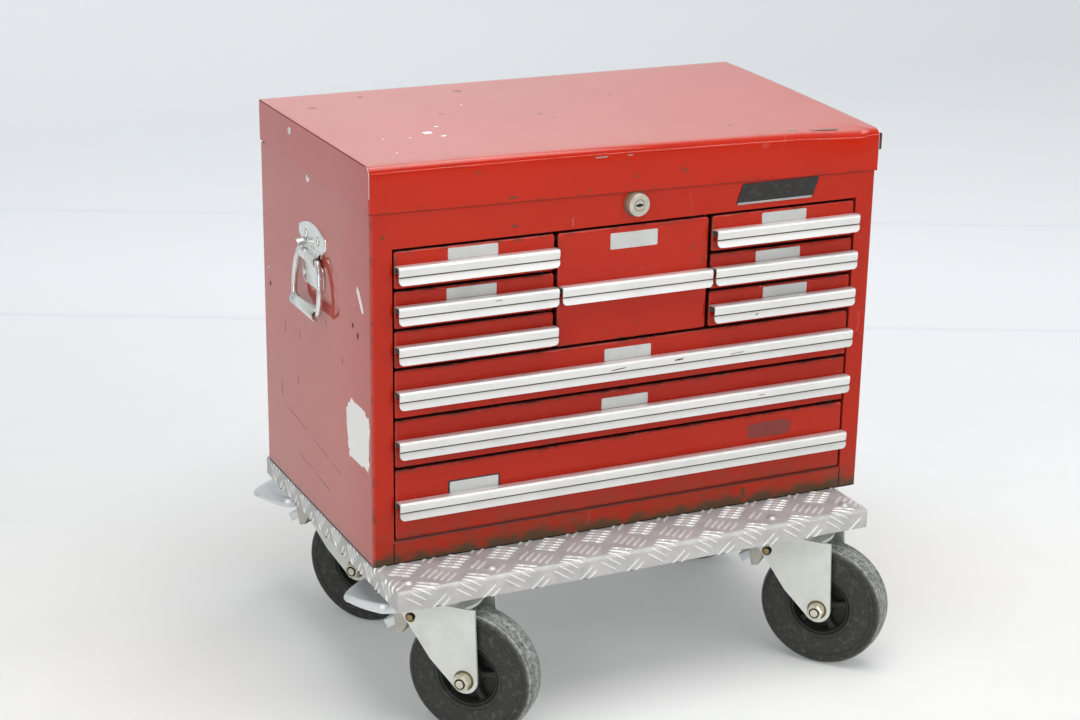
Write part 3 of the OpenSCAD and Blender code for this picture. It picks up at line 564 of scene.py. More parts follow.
# Darker copies of the red, as painted shade on the lower drawers
RED_SHADED = paint("red_enamel_painted_shade", rgb(182, 36, 12), 0.3, 0.1, 0.3)
RED_SHADED_DEEP = paint("red_enamel_painted_deep_shade", rgb(176, 33, 11), 0.3, 0.1, 0.3)
ZINC = metal("zinc_plate", rgb(228, 231, 224), rgb(208, 211, 204), 0.4, 0.4, 22.0, 0.3, 0.55)
CHROME = metal("handle_plating", rgb(234, 235, 232), rgb(222, 223, 220), 0.2, 0.85, 40.0, 0.08)
PEDAL = metal("pedal_zinc", rgb(226, 230, 231), rgb(212, 217, 219), 0.34, 0.45, 26.0, 0.06)
JAW = metal("jaw_steel", rgb(196, 194, 184), rgb(172, 169, 158), 0.42, 0.4, 40.0, 0.25)
LOCK = metal("lock_nickel", rgb(204, 199, 187), rgb(176, 170, 156), 0.36, 0.5, 60.0, 0.16)
NUT = metal("nut_steel", rgb(224, 219, 204), rgb(194, 187, 166), 0.34, 0.5, 80.0, 0.14)
TREAD = metal("tread_aluminium", rgb(197, 196, 195), rgb(176, 175, 174), 0.46, 0.25, 34.0, 0.2)
TREAD_BAR = metal("tread_bar_aluminium", rgb(240, 241, 239), rgb(226, 227, 224), 0.36, 0.4, 34.0, 0.06)
BOLT = metal("deck_bolt_zinc", rgb(204, 204, 202), rgb(184, 184, 182), 0.4, 0.5, 60.0, 0.3)
PULL = metal("pull_aluminium", rgb(232, 232, 230), rgb(220, 220, 218), 0.36, 0.5, 12.0, 0.16)
LABEL = metal("label_aluminium", rgb(208, 209, 207), rgb(190, 192, 191), 0.4, 0.35, 16.0, 0.08)
BRASS = metal("pin_brass", rgb(186, 160, 112), rgb(142, 116, 72), 0.42, 0.6, 90.0, 0.3)
DARK_PLATE = rubber("dark_plate", rgb(38, 37, 36), rgb(112, 110, 106), 0.4)
TYRE = rubber("tyre_rubber", rgb(46, 47, 45), rgb(166, 168, 164), 0.6)
RIM = rubber("rim_plastic", rgb(40, 41, 39), rgb(92, 92, 88), 0.5)
PAPER = rubber("old_paper", rgb(248, 248, 245), rgb(226, 229, 222), 0.8)
# Dark glue residue, also used as painted shadow along the lid's lower edge
RESIDUE_AND_SHADE = rubber("old_glue_and_painted_shade", rgb(74, 30, 24), rgb(120, 66, 52), 0.7)
GRIME = rubber("brown_dirt", rgb(112, 96, 70), rgb(150, 134, 104), 0.85)
FAINT = rubber("faint_scratch", rgb(128, 52, 46), rgb(148, 76, 68), 0.5)
SCUFF = rubber("grey_scuff", rgb(158, 132, 126), rgb(186, 168, 162), 0.6)
# Brown rust, also used as painted shadow round the handles' rivets
RUST_AND_SHADE = rubber("brown_rust_and_shade", rgb(92, 64, 44), rgb(136, 106, 76), 0.85)
# Near black for painted shade in holes, slots and gaps
HOLE_SHADE = rubber("painted_hole_shade", rgb(16, 15, 15), rgb(40, 38, 36), 0.8)


# The chest: its corner, its size, the depth of its sides up to the hinge, sheet and bend, bolt spacing

CHEST, chest_high = node_box("side_panel_left")
CHEST_W = node_box("side_panel_right")[1][0] - CHEST[0]
CHEST_D = chest_high[1] - CHEST[1]
SIDE_D = 378.0
SHEET = 1.2
BEND = 2.4
BOLT_X, BOLT_Y, BOLT_ROOM = 52.5, 40.0, 8.2
# The lid's skirt reaches below the upper edge of the sides
LID_LOW_Z = chest_high[2] - 12


def side_sheet(side):
    """Side panel with its stile: an L of sheet with a bent corner, drawn in plan and raised along Z.

    The outer corner is an arc of radius BEND + SHEET and the inner one an arc of radius BEND.
    """
    node = "side_panel_left" if side < 0 else "side_panel_right"
    low, high = node_box(node)
    x_out, stile = (low[0], high[0] - low[0]) if side < 0 else (high[0], low[0] - high[0])
    turn = 1 if side < 0 else -1
    t = quarter(7)
    r = BEND + SHEET
    y_front, back_z, notch, near = low[1], high[2] - 16, 15, r + 3
    outer = np.stack([x_out + turn * r * (1 - np.cos(t)), y_front + r * (1 - np.sin(t))], -1)
    inner = np.stack([x_out + turn * (r - BEND * np.cos(t)), y_front + r - BEND * np.sin(t)], -1)[::-1]

    def plan(y_back):
        """Closed outline up to the given back edge."""
        first = [[x_out, y_back], [x_out, y_front + near]]
        tip = [[x_out + turn * near, y_front], [x_out + stile, y_front], [x_out + stile, y_front + SHEET]]
        last = [[x_out + turn * SHEET, y_back]]
        return np.concatenate([first, outer, tip, inner, last])

    shells, masks = [], []
    edge = np.concatenate([[0, 0], 0.4 + 0.6 * np.sin(2 * t), [0, 0, 0], np.zeros(8)])
    for z0, z1, y_back in ((low[2], back_z, high[1]), (back_z, high[2], high[1] - notch)):
        outline = plan(y_back)
        rings = [np.column_stack([outline, np.full(len(outline), z)]) for z in np.linspace(z0, z1, 9)]
        shells.append(loft(rings))
        masks.append(np.tile(edge, 9))
    put(node.replace("panel_", ""), shells, RED_PAINT, "cabinet", replaces=(node,), masks=masks)


# Drawers: front panel, tray walls, runner lips

TRAY_SIDE, TRAY_LIFT, LIP_DROP, RUNNER = 9, 3, 10, 8
FRONT_RETURN, FRONT_BEND, FRONT_CORNER = 8, 2.2, 3.0
# Drawers with darker copies of the chest's paint: painted shade from the pulls above them
PAINTED_SHADE_TONES = {
    "left_mid": RED_SHADED, "left_low": RED_SHADED, "right_mid": RED_SHADED, "right_low": RED_SHADED,
    "wide_top": RED_SHADED, "wide_mid": RED_SHADED_DEEP,
}


def drawer(key):
    """Drawer with a pressed front and an open tray behind it."""
    node = "drawer_" + key
    low, high = node_box(node)
    front, mask = formed_panel(
        low[0], high[0], low[2], high[2], low[1], FRONT_RETURN, FRONT_BEND, FRONT_CORNER,
    )
    x0, x1 = low[0] + TRAY_SIDE, high[0] - TRAY_SIDE
    y0, y1 = low[1] + FRONT_RETURN - 1, high[1]
    z0, z1 = low[2] + TRAY_LIFT, high[2] - LIP_DROP + SHEET
    lap, lip_y = 0.4, y0 + 3
    walls = [
        block((x0, y0, z0), (x1, y1, z0 + SHEET)),
        block((x0, y0, z0), (x0 + SHEET, y1, z1)),
        block((x1 - SHEET, y0, z0), (x1, y1, z1)),
        block((x0, y1 - SHEET, z0), (x1, y1, z1)),
        block((x0 - RUNNER, lip_y, z1 - SHEET), (x0 + lap, y1, z1)),
        block((x1 - lap, lip_y, z1 - SHEET), (x1 + RUNNER, y1, z1)),
    ]
    put("box_" + key, [front] + walls, PAINTED_SHADE_TONES.get(key, RED_PAINT), node,
        replaces=(node,), masks=[mask] + [np.zeros(8)] * len(walls))


# Pull rail: the middle line of its sheet as (outward, up), from the mounting leg to the lip
PULL_LINE = [
    (1.0, -8.0), (1.0, -3.0), (1.2, -0.4), (3.0, 0.5), (8.0, 1.0), (11.6, 1.35), (13.6, 0.9), (14.3, -0.6),
    (14.2, -3.2), (13.7, -6.2), (13.4, -8.3), (13.3, -9.4), (13.45, -10.8), (13.9, -13.2), (14.5, -16.0),
    (15.1, -19.0),
]
# Where the outer face of that line starts, half its thickness, and its level below the top of the CAD's pull
PULL_FACE, PULL_GAUGE, PULL_DROP = 7, 0.9, 2.3
PULL_CORNER = 5.5
GROOVE_Z, GROOVE_HALF, GROOVE_DEPTH = -9.6, 0.85, 0.55


def pull(key):
    """Pull rail: its middle line thickened both ways and carried along X.

    Near each end the line is cut shorter by r - sqrt(r2 - (r - d)2), which rounds the lower corners, and
    one thin groove is sunk into the outer face a little under half way down. The groove, a band under it
    and the inner face are darkened by dirt together with painted shade.
    """
    node = "pull_" + key
    low, high = node_box(node)
    foot = node_box("drawer_" + key)[0]
    top_z = high[2] - PULL_DROP
    line = smooth_path(PULL_LINE, 240)
    run = np.concatenate([[0], np.cumsum(np.linalg.norm(np.diff(line, axis=0), axis=1))])
    inward = line[:, 0] < 12
    groove_at = run[np.argmin(np.abs(line[:, 1] - GROOVE_Z) + 9 * inward)]
    close = groove_at + np.array([-1.2, -0.9, -0.8, 0.8, 0.9, 1.2])
    base = np.sort(np.concatenate([np.linspace(0, run[-1], 46), close]))
    in_groove = np.abs(base - groove_at) < GROOVE_HALF
    corner = PULL_CORNER
    d = corner * (1 - np.cos(quarter(7)))
    middle = np.linspace(low[0] + corner, high[0] - corner, 5)[1:-1]
    x = np.concatenate([low[0] + d, middle, high[0] - d[::-1]])
    near = np.clip(np.minimum(x - low[0], high[0] - x), 0, corner)
    cut = corner - np.sqrt(corner**2 - (corner - near) ** 2)
    slope = np.gradient(line, axis=0)
    follow = lambda s, curve: np.stack([np.interp(s, run, curve[:, 0]), np.interp(s, run, curve[:, 1])], -1)
    rings = []
    for place, short in zip(x, cut):
        s = np.minimum(base, run[-1] - short + 0.02 * (base - run[-1]))
        p, along = follow(s, line), follow(s, slope)
        along /= np.linalg.norm(along, axis=1, keepdims=True)
        side = np.stack([-along[:, 1], along[:, 0]], -1)
        outer = p + side * (PULL_GAUGE - GROOVE_DEPTH * in_groove)[:, None]
        inner = (p - side * PULL_GAUGE)[::-1]
        section = np.concatenate([outer, inner])
        rings.append(np.column_stack([
            np.full(len(section), place), foot[1] - section[:, 0], top_z + section[:, 1],
        ]))
    # The groove, the band under it and the inner face get dark: dirt together with painted shade
    below = base - groove_at - GROOVE_HALF
    film_and_painted_light = np.where(below > 0, 0.3 * np.exp(-np.maximum(below, 0) / 5.0), 0.0)
    mask = np.concatenate([np.maximum(in_groove, film_and_painted_light), np.full(len(base), 0.85)])
    put("rail_" + key, [loft(rings)], PULL, "drawer_" + key, smooth=40,
        replaces=(node,), masks=[np.tile(mask, len(x))])


# Lid: a roof sheet with a rounded front edge, and two end plates

LID_LOW, LID_HIGH = node_box("lid_shell")
# The skin stands a little inside the CAD's box at both ends
LID_INSET = 2.2
LID_X = LID_LOW[0] + LID_INSET, LID_HIGH[0] - LID_INSET
LID_Y = LID_LOW[1], CHEST[1] + SIDE_D
LID_Z = LID_LOW_Z, LID_HIGH[2]


def sagged(p):
    """Points of the lid lowered towards the front right, where the old lid has sunk.

    With s from the left end to the right one and b from the front to the back, the top sinks by
    12.5 s^1.8 (1 - b)^1.4 and the lower edge by 10 s (1 - b)^1.4 + 3 (1 - b)^4, blended over the height.
    """
    s = np.clip((p[..., 0] - LID_X[0]) / (LID_X[1] - LID_X[0]), 0, 1)
    b = np.clip((p[..., 1] - LID_Y[0]) / (LID_Y[1] - LID_Y[0]), 0, 1)
    low = np.clip((LID_Z[1] - p[..., 2]) / (LID_Z[1] - LID_Z[0]), 0, 1)
    top = 12.5 * s**1.8 * (1 - b) ** 1.4
    foot = 10.0 * s * (1 - b) ** 1.4 + 3.0 * (1 - b) ** 4
    moved = p.copy()
    moved[..., 2] -= top * (1 - low) + foot * low
    return moved


def lid():
    """Lid in sheet metal.

    The section runs up the front, round an arc of the bend's radius, back over the top and down the back.
    Towards each end it is drawn in by e (1 - sin t) while X runs in by e (1 - cos t), which rounds the ends.
    A knock presses the front edge down near the right end, and the whole lid has sagged.
    """
    bend, back_bend, end = 9.0, 1.5, 2.2
    (x0, x1), (y0, y1), (z0, z1) = LID_X, LID_Y, LID_Z
    t = quarter(11)

    def section(inset):
        """Open section line drawn in by the given amount, from the front foot to the back foot."""
        r = bend - inset
        a, b, top = y0 + inset, y1 - inset, z1 - inset
        up = np.stack([np.full(6, a), np.linspace(z0, top - r, 6)], -1)
        arc = np.stack([a + r * (1 - np.cos(t)), top - r + r * np.sin(t)], -1)[1:]
        flat = np.stack([np.linspace(a + r, b - back_bend, 26), np.full(26, top)], -1)[1:]
        y_turn, z_turn = b - back_bend, top - back_bend
        turn = np.stack([y_turn + back_bend * np.sin(t), z_turn + back_bend * np.cos(t)], -1)[1:]
        down = np.stack([np.full(4, b), np.linspace(z_turn, z0, 4)], -1)[1:]
        return np.concatenate([up, arc, flat, turn, down])

    s = quarter(6)
    inset = end * (1 - np.sin(s))
    reach = end * (1 - np.cos(s))
    middle = np.linspace(x0 + end, x1 - end, 141)[1:-1]
    x = np.concatenate([x0 + reach, middle, (x1 - reach)[::-1]])
    draw = np.concatenate([inset, np.zeros(len(middle)), inset[::-1]])
    lines = np.stack([section(v) for v in draw])
    grid = np.concatenate([np.broadcast_to(x[:, None, None], lines.shape[:2] + (1,)), lines], -1)

    def knocked(p):
        """Front edge pressed down by up to 2.5 mm over the last 100 mm before the right corner."""
        along = eased(p[..., 0], x1 - 122, x1 - 24) * (1 - eased(p[..., 0], x1 - 24, x1 - 16))
        back = 1 - eased(p[..., 1], y0 + 4, y0 + 34)
        high = eased(p[..., 2], z1 - 22, z1 - 6)
        press = along * back * high
        moved = p.copy()
        moved[..., 2] -= 2.5 * press
        moved[..., 1] += 1.2 * press
        return sagged(moved)

    edge_line = np.zeros(lines.shape[1])
    edge_line[6:16] = 0.2
    # The skirt's foot row is darkened as painted shadow under the lid
    edge_line[0] = 0.5
    shaped = knocked(grid)
    roof = sheet_shell(shaped, SHEET)
    plates = [
        loft(np.stack([shaped[column], shaped[column] + np.array([step, 0, 0])]))
        for column, step in ((0, SHEET), (-1, -SHEET))
    ]
    plate_masks = [np.zeros(2 * lines.shape[1])] * 2
    catch_x, wide, gauge = CHEST[0] + CHEST_W / 2 - 26, 14, 2
    hook_y, hook_z, arm_z = CHEST[1] + 20, CHEST[2] + 395, CHEST[2] + 448
    catch = [
        block((catch_x, CHEST[1] - 0.8, arm_z), (catch_x + wide, hook_y, arm_z + gauge)),
        block((catch_x, hook_y - gauge, hook_z), (catch_x + wide, hook_y, arm_z + gauge)),
        block((catch_x, hook_y - 8, hook_z), (catch_x + wide, hook_y, hook_z + gauge)),
    ]
    put("lid_skin", [roof] + plates + catch, RED_LID, "lid", replaces=("lid_shell",),
        masks=[np.tile(edge_line, 2 * len(x))] + plate_masks + [np.zeros(8)] * len(catch))
    rivets = [
        dome(np.array([wall, CHEST[1] + SIDE_D * 0.69, z1 - 15]), (side, 0, 0), 4.5, 2.0)
        for wall, side in ((x0, -1), (x1, 1))
    ]
    put("lid_rivets", rivets, ZINC, "lid")
    # Dark seams near both ends; rubbed metal with a painted highlight up the front and round the bend
    seams_and_painted_shadows, worn = [], []
    for column in (2, -3):
        line = shaped[column]
        seams_and_painted_shadows.append(swept(line[15:42], 0.45, 0.45, np.array([1.0, 0, 0]), steps=8))
        worn.append(swept(line[2:17], 0.4, 0.4, np.array([1.0, 0, 0]), steps=8))
    runs = [
        [(x0 + 0.9, y1 - 4), (x0 + 0.9, y0 + 1)], [(x0 + 1, y0 + 0.9), (x1 - 1, y0 + 0.9)],
        [(x1 - 0.9, y0 + 1), (x1 - 0.9, y1 - 4)],
    ]
    # A dark strip along the skirt's lower edge is painted shadow under the lid
    for a, b in runs:
        hem = np.column_stack([np.linspace(a, b, 40), np.full(40, z0)])
        seams_and_painted_shadows.append(swept(sagged(hem), 0.75, 0.9, UP, steps=8))
    put("lid_seams_and_hem_shadow", seams_and_painted_shadows, RESIDUE_AND_SHADE, "lid")
    # Bright lines at the front corners: rubbed metal together with a painted highlight
    put("lid_worn_highlit_edges", worn, LABEL, "lid")
    hook = block((x1 - 0.2, y0 + 1, z0 + 12), (x1 + 3.5, y0 + 6, z0 + 32))
    put("lid_hook", [hook], RESIDUE_AND_SHADE, "lid")


# Dolly deck

DECK_LOW, DECK_HIGH = node_box("deck_plate")
DECK_BEND, DECK_GAUGE, DECK_CORNER = 5.0, 4.0, 3.5


def deck():
    """Deck tray: rounded rectangles from the inner ceiling down the flange, round its foot and over the bend."""
    (x0, y0, z0), (x1, y1, z1) = DECK_LOW, DECK_HIGH
    t, foot = quarter(7), 0.6
    inset = np.concatenate([
        [DECK_GAUGE, DECK_GAUGE, DECK_GAUGE - foot, foot, 0, 0], DECK_BEND * (1 - np.cos(t)), [DECK_BEND + 4],
    ])
    z = np.concatenate([
        [z1 - DECK_GAUGE, z0 + foot, z0, z0, z0 + foot, z1 - DECK_BEND], z1 - DECK_BEND * (1 - np.sin(t)), [z1],
    ])
    rings = []
    for d, level in zip(inset, z):
        ring = rounded_ring(x0 + d, x1 - d, y0 + d, y1 - d, max(DECK_CORNER - d, 2.5))
        rings.append(np.column_stack([ring, np.full(len(ring), level)]))
    put("deck_tray", [loft(rings)], TREAD, "cabinet", replaces=("deck_plate",))


# Tread clusters: their pitch along X, the rows' pitch along Y, and the first one left of the chest's front
CLUSTER_X, CLUSTER_Y, CLUSTER_AT = 62.3, 28.3, (-285.0, -177.0)
BAR_L, BAR_W, BAR_H, BAR_STEP = 28.0, 3.9, 1.2, 8.1
BAR_LEAN = {0: -33.0, 1: 42.0}


def tread_bars():
    """Five-bar tread: rows of clusters of five lens-shaped bars.

    Every other row is shifted by half a pitch and leans the other way.
    A bar's half width follows sqrt(1 - u2) to the power 0.7 and its height falls to zero at the rim. Bars are
    stacked along a diagonal, laid out on the unfolded sheet and wrapped over the bend: flat, then an arc of
    DECK_BEND, then down the flange, whose foot cuts them off.
    """
    (x0, y0, z0), (x1, y1, z1) = DECK_LOW, DECK_HIGH
    u = np.linspace(-1, 1, 9)
    v = np.array([-1.0, -0.45, 0.45, 1.0])
    rows, cols = len(u), len(v)
    half = np.sqrt(np.clip(1 - u**2, 0, 1)) ** 0.7
    lens_x = np.broadcast_to(u[:, None] * BAR_L / 2, (rows, cols))
    lens_y = half[:, None] * v * BAR_W / 2
    lens_h = np.where(np.abs(v) < 0.9, BAR_H, -0.05) * np.where(np.abs(u) < 0.99, 1.0, -0.05)[:, None]
    lens = np.stack([lens_x, lens_y, lens_h], -1).reshape(-1, 3)
    faces = quads(rows, cols)
    under = np.arange(rows * cols).reshape(rows, cols)
    rim = np.concatenate([under[:, 0], under[::-1, -1]])[None]
    reach = z1 - z0 - DECK_BEND + DECK_BEND * math.pi / 2 - 0.3
    flat_x, flat_y = x1 - DECK_BEND, y1 - DECK_BEND

    col, row = np.meshgrid(np.arange(-3, 13), np.arange(-4, 17), indexing="ij")
    odd = (row % 2).ravel()
    centre_x = CLUSTER_AT[0] + (col.ravel() + 0.5 * odd) * CLUSTER_X
    centre_y = CLUSTER_AT[1] + row.ravel() * CLUSTER_Y
    lean = np.radians(np.where(odd, BAR_LEAN[1], BAR_LEAN[0]))
    stack = np.where(odd, -math.pi / 4, math.pi / 4)
    along = np.stack([np.cos(lean), np.sin(lean)], -1)
    across = np.stack([-np.sin(lean), np.cos(lean)], -1)
    pile = np.stack([np.cos(stack), np.sin(stack)], -1)
    steps = np.arange(-2, 3) * BAR_STEP
    centre = np.stack([centre_x, centre_y], -1)
    bars = (centre[:, None] + steps[None, :, None] * pile[:, None]).reshape(-1, 2)
    along, across = np.repeat(along, 5, axis=0), np.repeat(across, 5, axis=0)
    thin = np.where(np.abs(bars[:, 1]) > flat_y, 0.6, 1.0)[:, None, None]
    flat = bars[:, None] + lens[None, :, :1] * along[:, None] + lens[None, :, 1:2] * thin * across[:, None]
    lift = np.broadcast_to(lens[None, :, 2], flat.shape[:2])

    def fold(q, limit):
        """Distance out and drop of a point q along the sheet, at the given lift over it."""
        past = np.minimum(np.abs(q) - limit, reach)
        angle = np.clip(past / DECK_BEND, 0, math.pi / 2)
        down = np.clip(past - DECK_BEND * math.pi / 2, 0, None)
        out = np.minimum(np.abs(q), limit) + (DECK_BEND + lift) * np.sin(angle)
        drop = DECK_BEND - (DECK_BEND + lift) * np.cos(angle) + down
        return np.sign(q) * out, drop, past

    px, drop_x, past_x = fold(flat[..., 0], flat_x)
    py, drop_y, past_y = fold(flat[..., 1], flat_y)
    on_side = past_x.max(1) > 0
    on_end = past_y.max(1) > 0
    z = z1 + np.where(on_side[:, None], -drop_x, np.where(on_end[:, None], -drop_y, lift))
    fits = (past_x.min(1) < reach - 4) & (past_y.min(1) < reach - 4) & ~(on_side & on_end)
    hidden = (py.min(1) > CHEST[1] + 4) & (py.max(1) < CHEST[1] + CHEST_D - 4) & ~on_side
    keep = fits & ~hidden
    for key in CASTERS:
        spot = np.array(JOINTS["swivel_" + key]["pos_m"][:2]) / MM
        for sx in (-BOLT_X, BOLT_X):
            for sy in (-BOLT_Y, BOLT_Y):
                gap = np.hypot(px - spot[0] - sx, py - spot[1] - sy).min(1)
                keep &= (gap > BOLT_ROOM) | on_side | on_end
    points = np.stack([px, py, z], -1)[keep]
    shift = (np.arange(len(points)) * rows * cols)[:, None, None]
    groups = [(faces + shift).reshape(-1, 4), (rim[:, ::-1] + shift).reshape(-1, rim.shape[1])]
    put("tread_bars", [(points.reshape(-1, 3), groups)], TREAD_BAR, "cabinet", smooth=50)


# Casters: u runs along the trail, v along the axle, z up from the floor

LEG_OUT = 30.5
WHEEL_R, RIM_R = 80.0, 38.0
TYRE_STEPS = 112
PIN_U, PIN_Z = -20.0, 147.0


def caster_frame(key):
    """Swivel centre and the unit vectors of trail and axle of one caster."""
    pivot = np.array(JOINTS["swivel_" + key]["pos_m"]) / MM
    hub = np.array(JOINTS["wheel_" + key + "_spin"]["pos_m"]) / MM
    trail = hub - pivot
    trail[2] = 0
    u = trail / np.linalg.norm(trail)
    v = np.array([-u[1], u[0], 0])
    return np.array([pivot[0], pivot[1], 0]), u, v, hub


def in_caster(key, points):
    """Points of (u, v, z) put into the row frame."""
    pivot, u, v, _ = caster_frame(key)
    points = np.asarray(points, float)
    return pivot + points[..., :1] * u + points[..., 1:2] * v + points[..., 2:] * UP


def tyre(key):
    """Tyre: a closed section with ring grooves on the sidewalls and in the tread, turned about the axle."""
    _, _, axle, hub = caster_frame(key)
    side = np.array([
        (RIM_R, 17.0), (39.0, 19.4), (40.5, 20.4), (42.4, 20.3), (43.2, 19.7), (44.0, 20.4), (50.0, 20.9),
        (58.0, 21.0), (64.5, 20.9), (65.2, 20.1), (66.2, 20.1), (67.0, 20.8), (69.8, 20.7), (70.5, 19.9),
        (71.3, 19.9), (72.2, 20.4), (75.0, 19.2), (77.2, 17.4), (78.4, 15.6),
    ])
    grooves = np.array([13.4, 10.6, 7.8, 5.0])
    cut = np.array([[78.9, 0.75], [78.0, 0.45], [78.0, -0.45], [79.1, -0.75]])
    tread = np.concatenate([
        np.stack([cut[:, 0] + 0.25 * k, g + cut[:, 1]], -1) for k, g in enumerate(grooves)
    ])
    half = np.concatenate([side, tread, [[WHEEL_R, 2.5]]])
    profile = np.concatenate([half, (half * np.array([1, -1]))[::-1]])
    shell = revolved(profile, hub, axle, TYRE_STEPS)
    worn = np.where(profile[:, 0] > 78.2, 1.0, np.where(profile[:, 0] > 77, 0.4, 0.02))
    put("tyre_" + key + "_skin", [shell], TYRE, "wheel_" + key, smooth=28,
        replaces=("tyre_" + key,), masks=[np.tile(worn, TYRE_STEPS)])


def rim(key):
    """Moulded rim: a lipped outer ring, a closed web, a long hub and five ribs that stand out of the web."""
    _, _, axle, hub = caster_frame(key)
    mirrored = lambda p: np.concatenate([p, (p * np.array([1, -1]))[::-1][1:]])
    ring = mirrored(np.array([
        (RIM_R, 17.0), (37.6, 18.6), (36.6, 19.0), (35.4, 18.2), (34.6, 15.0), (33.6, 6.0), (33.4, 0.0),
    ]))
    core = mirrored(np.array([
        (6.2, 26.4), (11.5, 26.4), (13.0, 25.2), (14.0, 21.0), (16.6, 8.0), (16.8, 0.0),
    ]))
    web = disc_profile(34.5, 4.5, 0.4, 10.0)
    shells = [revolved(ring, hub, axle, 96), revolved(core, hub, axle, 48), revolved(web, hub, axle, 48)]
    side = np.cross(UP, axle)
    t = full_turn(16)
    round_c, round_s = squared(np.cos(t), 0.4), squared(np.sin(t), 0.4)
    stations = np.linspace(13, 34.5, 6)
    wide = 3.6 + 2.2 * ((stations - 24) / 10) ** 2
    deep = 15.0 - 0.12 * (stations - 13)
    for a in full_turn(5) + 0.45:
        out = math.cos(a) * side + math.sin(a) * UP
        across = -math.sin(a) * side + math.cos(a) * UP
        rings = (
            hub + stations[:, None, None] * out + (wide[:, None] * round_c)[..., None] * across
            + (deep[:, None] * round_s)[..., None] * axle
        )
        shells.append(loft(rings))
    put("rim_" + key + "_cast", shells, RIM, "wheel_" + key, smooth=34,
        replaces=("rim_" + key,))


def hex_ring(centre, u, v, radius, level, turn=0.2):
    """Hexagon of a radius about the axle v through centre, at a level along it."""
    t = full_turn(6) + turn
    spoke = np.cos(t)[:, None] * u + np.sin(t)[:, None] * UP
    return centre + radius * spoke + level * v


def tube(centre, axle, radius, inner, v0, v1, edge=0.4, steps=40):
    """Ring or rod along the axle from v0 to v1 with its edges eased."""
    profile = disc_profile(radius, (v1 - v0) / 2, edge, inner)
    return revolved(profile, centre + (v0 + v1) / 2 * np.asarray(axle), axle, steps)


def axle_bolt(key):
    """Axle bolt with washers and hexagon nuts on both legs, and the brass pin on which the brake swings."""
    _, u, v, hub = caster_frame(key)
    face, nut_end, bolt_end = LEG_OUT + 2.0, LEG_OUT + 11.4, LEG_OUT + 13.0
    nuts, dirt, dark, ends = [], [], [], [tube(hub, v, 4.9, 0.5, -bolt_end, bolt_end, 0.6)]
    for side in (-1, 1):
        levels = ((9.9, face), (10.6, face + 0.6), (10.6, nut_end - 1.4), (8.9, nut_end))
        nuts.append(loft(np.stack([hex_ring(hub, u, v, r, side * level) for r, level in levels])))
        nuts.append(tube(hub, v * side, 9.8, 5.0, LEG_OUT, face))
        # Dark ring at the nut's end: painted shadow of the thread and chamfer
        dark.append(tube(hub, v * side, 6.7, 4.7, nut_end - 0.2, nut_end + 0.7, 0.2))
        dirt.append(tube(hub, v * side, 12.6, 8.0, LEG_OUT - 0.05, LEG_OUT + 0.12, 0.02))
    pin = in_caster(key, [PIN_U, 0.0, PIN_Z])
    shade = in_caster(key, [PIN_U + 2.5, 0.0, PIN_Z + 2.0])
    pins = [tube(pin, v, 3.4, 0.4, -LEG_OUT - 1.5, LEG_OUT + 1.5, 0.5)]
    # Dark disc round the pin: painted shade of its hole in the leg
    dark += [tube(shade, v * side, 4.6, 0.4, LEG_OUT - 0.05, LEG_OUT + 0.14, 0.02) for side in (-1, 1)]
    dirt += [tube(pin, v * side, 6.2, 3.2, LEG_OUT - 0.05, LEG_OUT + 0.1, 0.02) for side in (-1, 1)]
    body = "caster_" + key
    put("axle_" + key + "_bolt", ends, NUT, body, replaces=("axle_" + key,))
    put("axle_" + key + "_nuts", nuts, NUT, body, smooth=25)
    put("axle_" + key + "_dirt", dirt, GRIME, body)
    put("axle_" + key + "_painted_shade", dark, HOLE_SHADE, body)
    put("brake_pin_" + key, pins, BRASS, body)


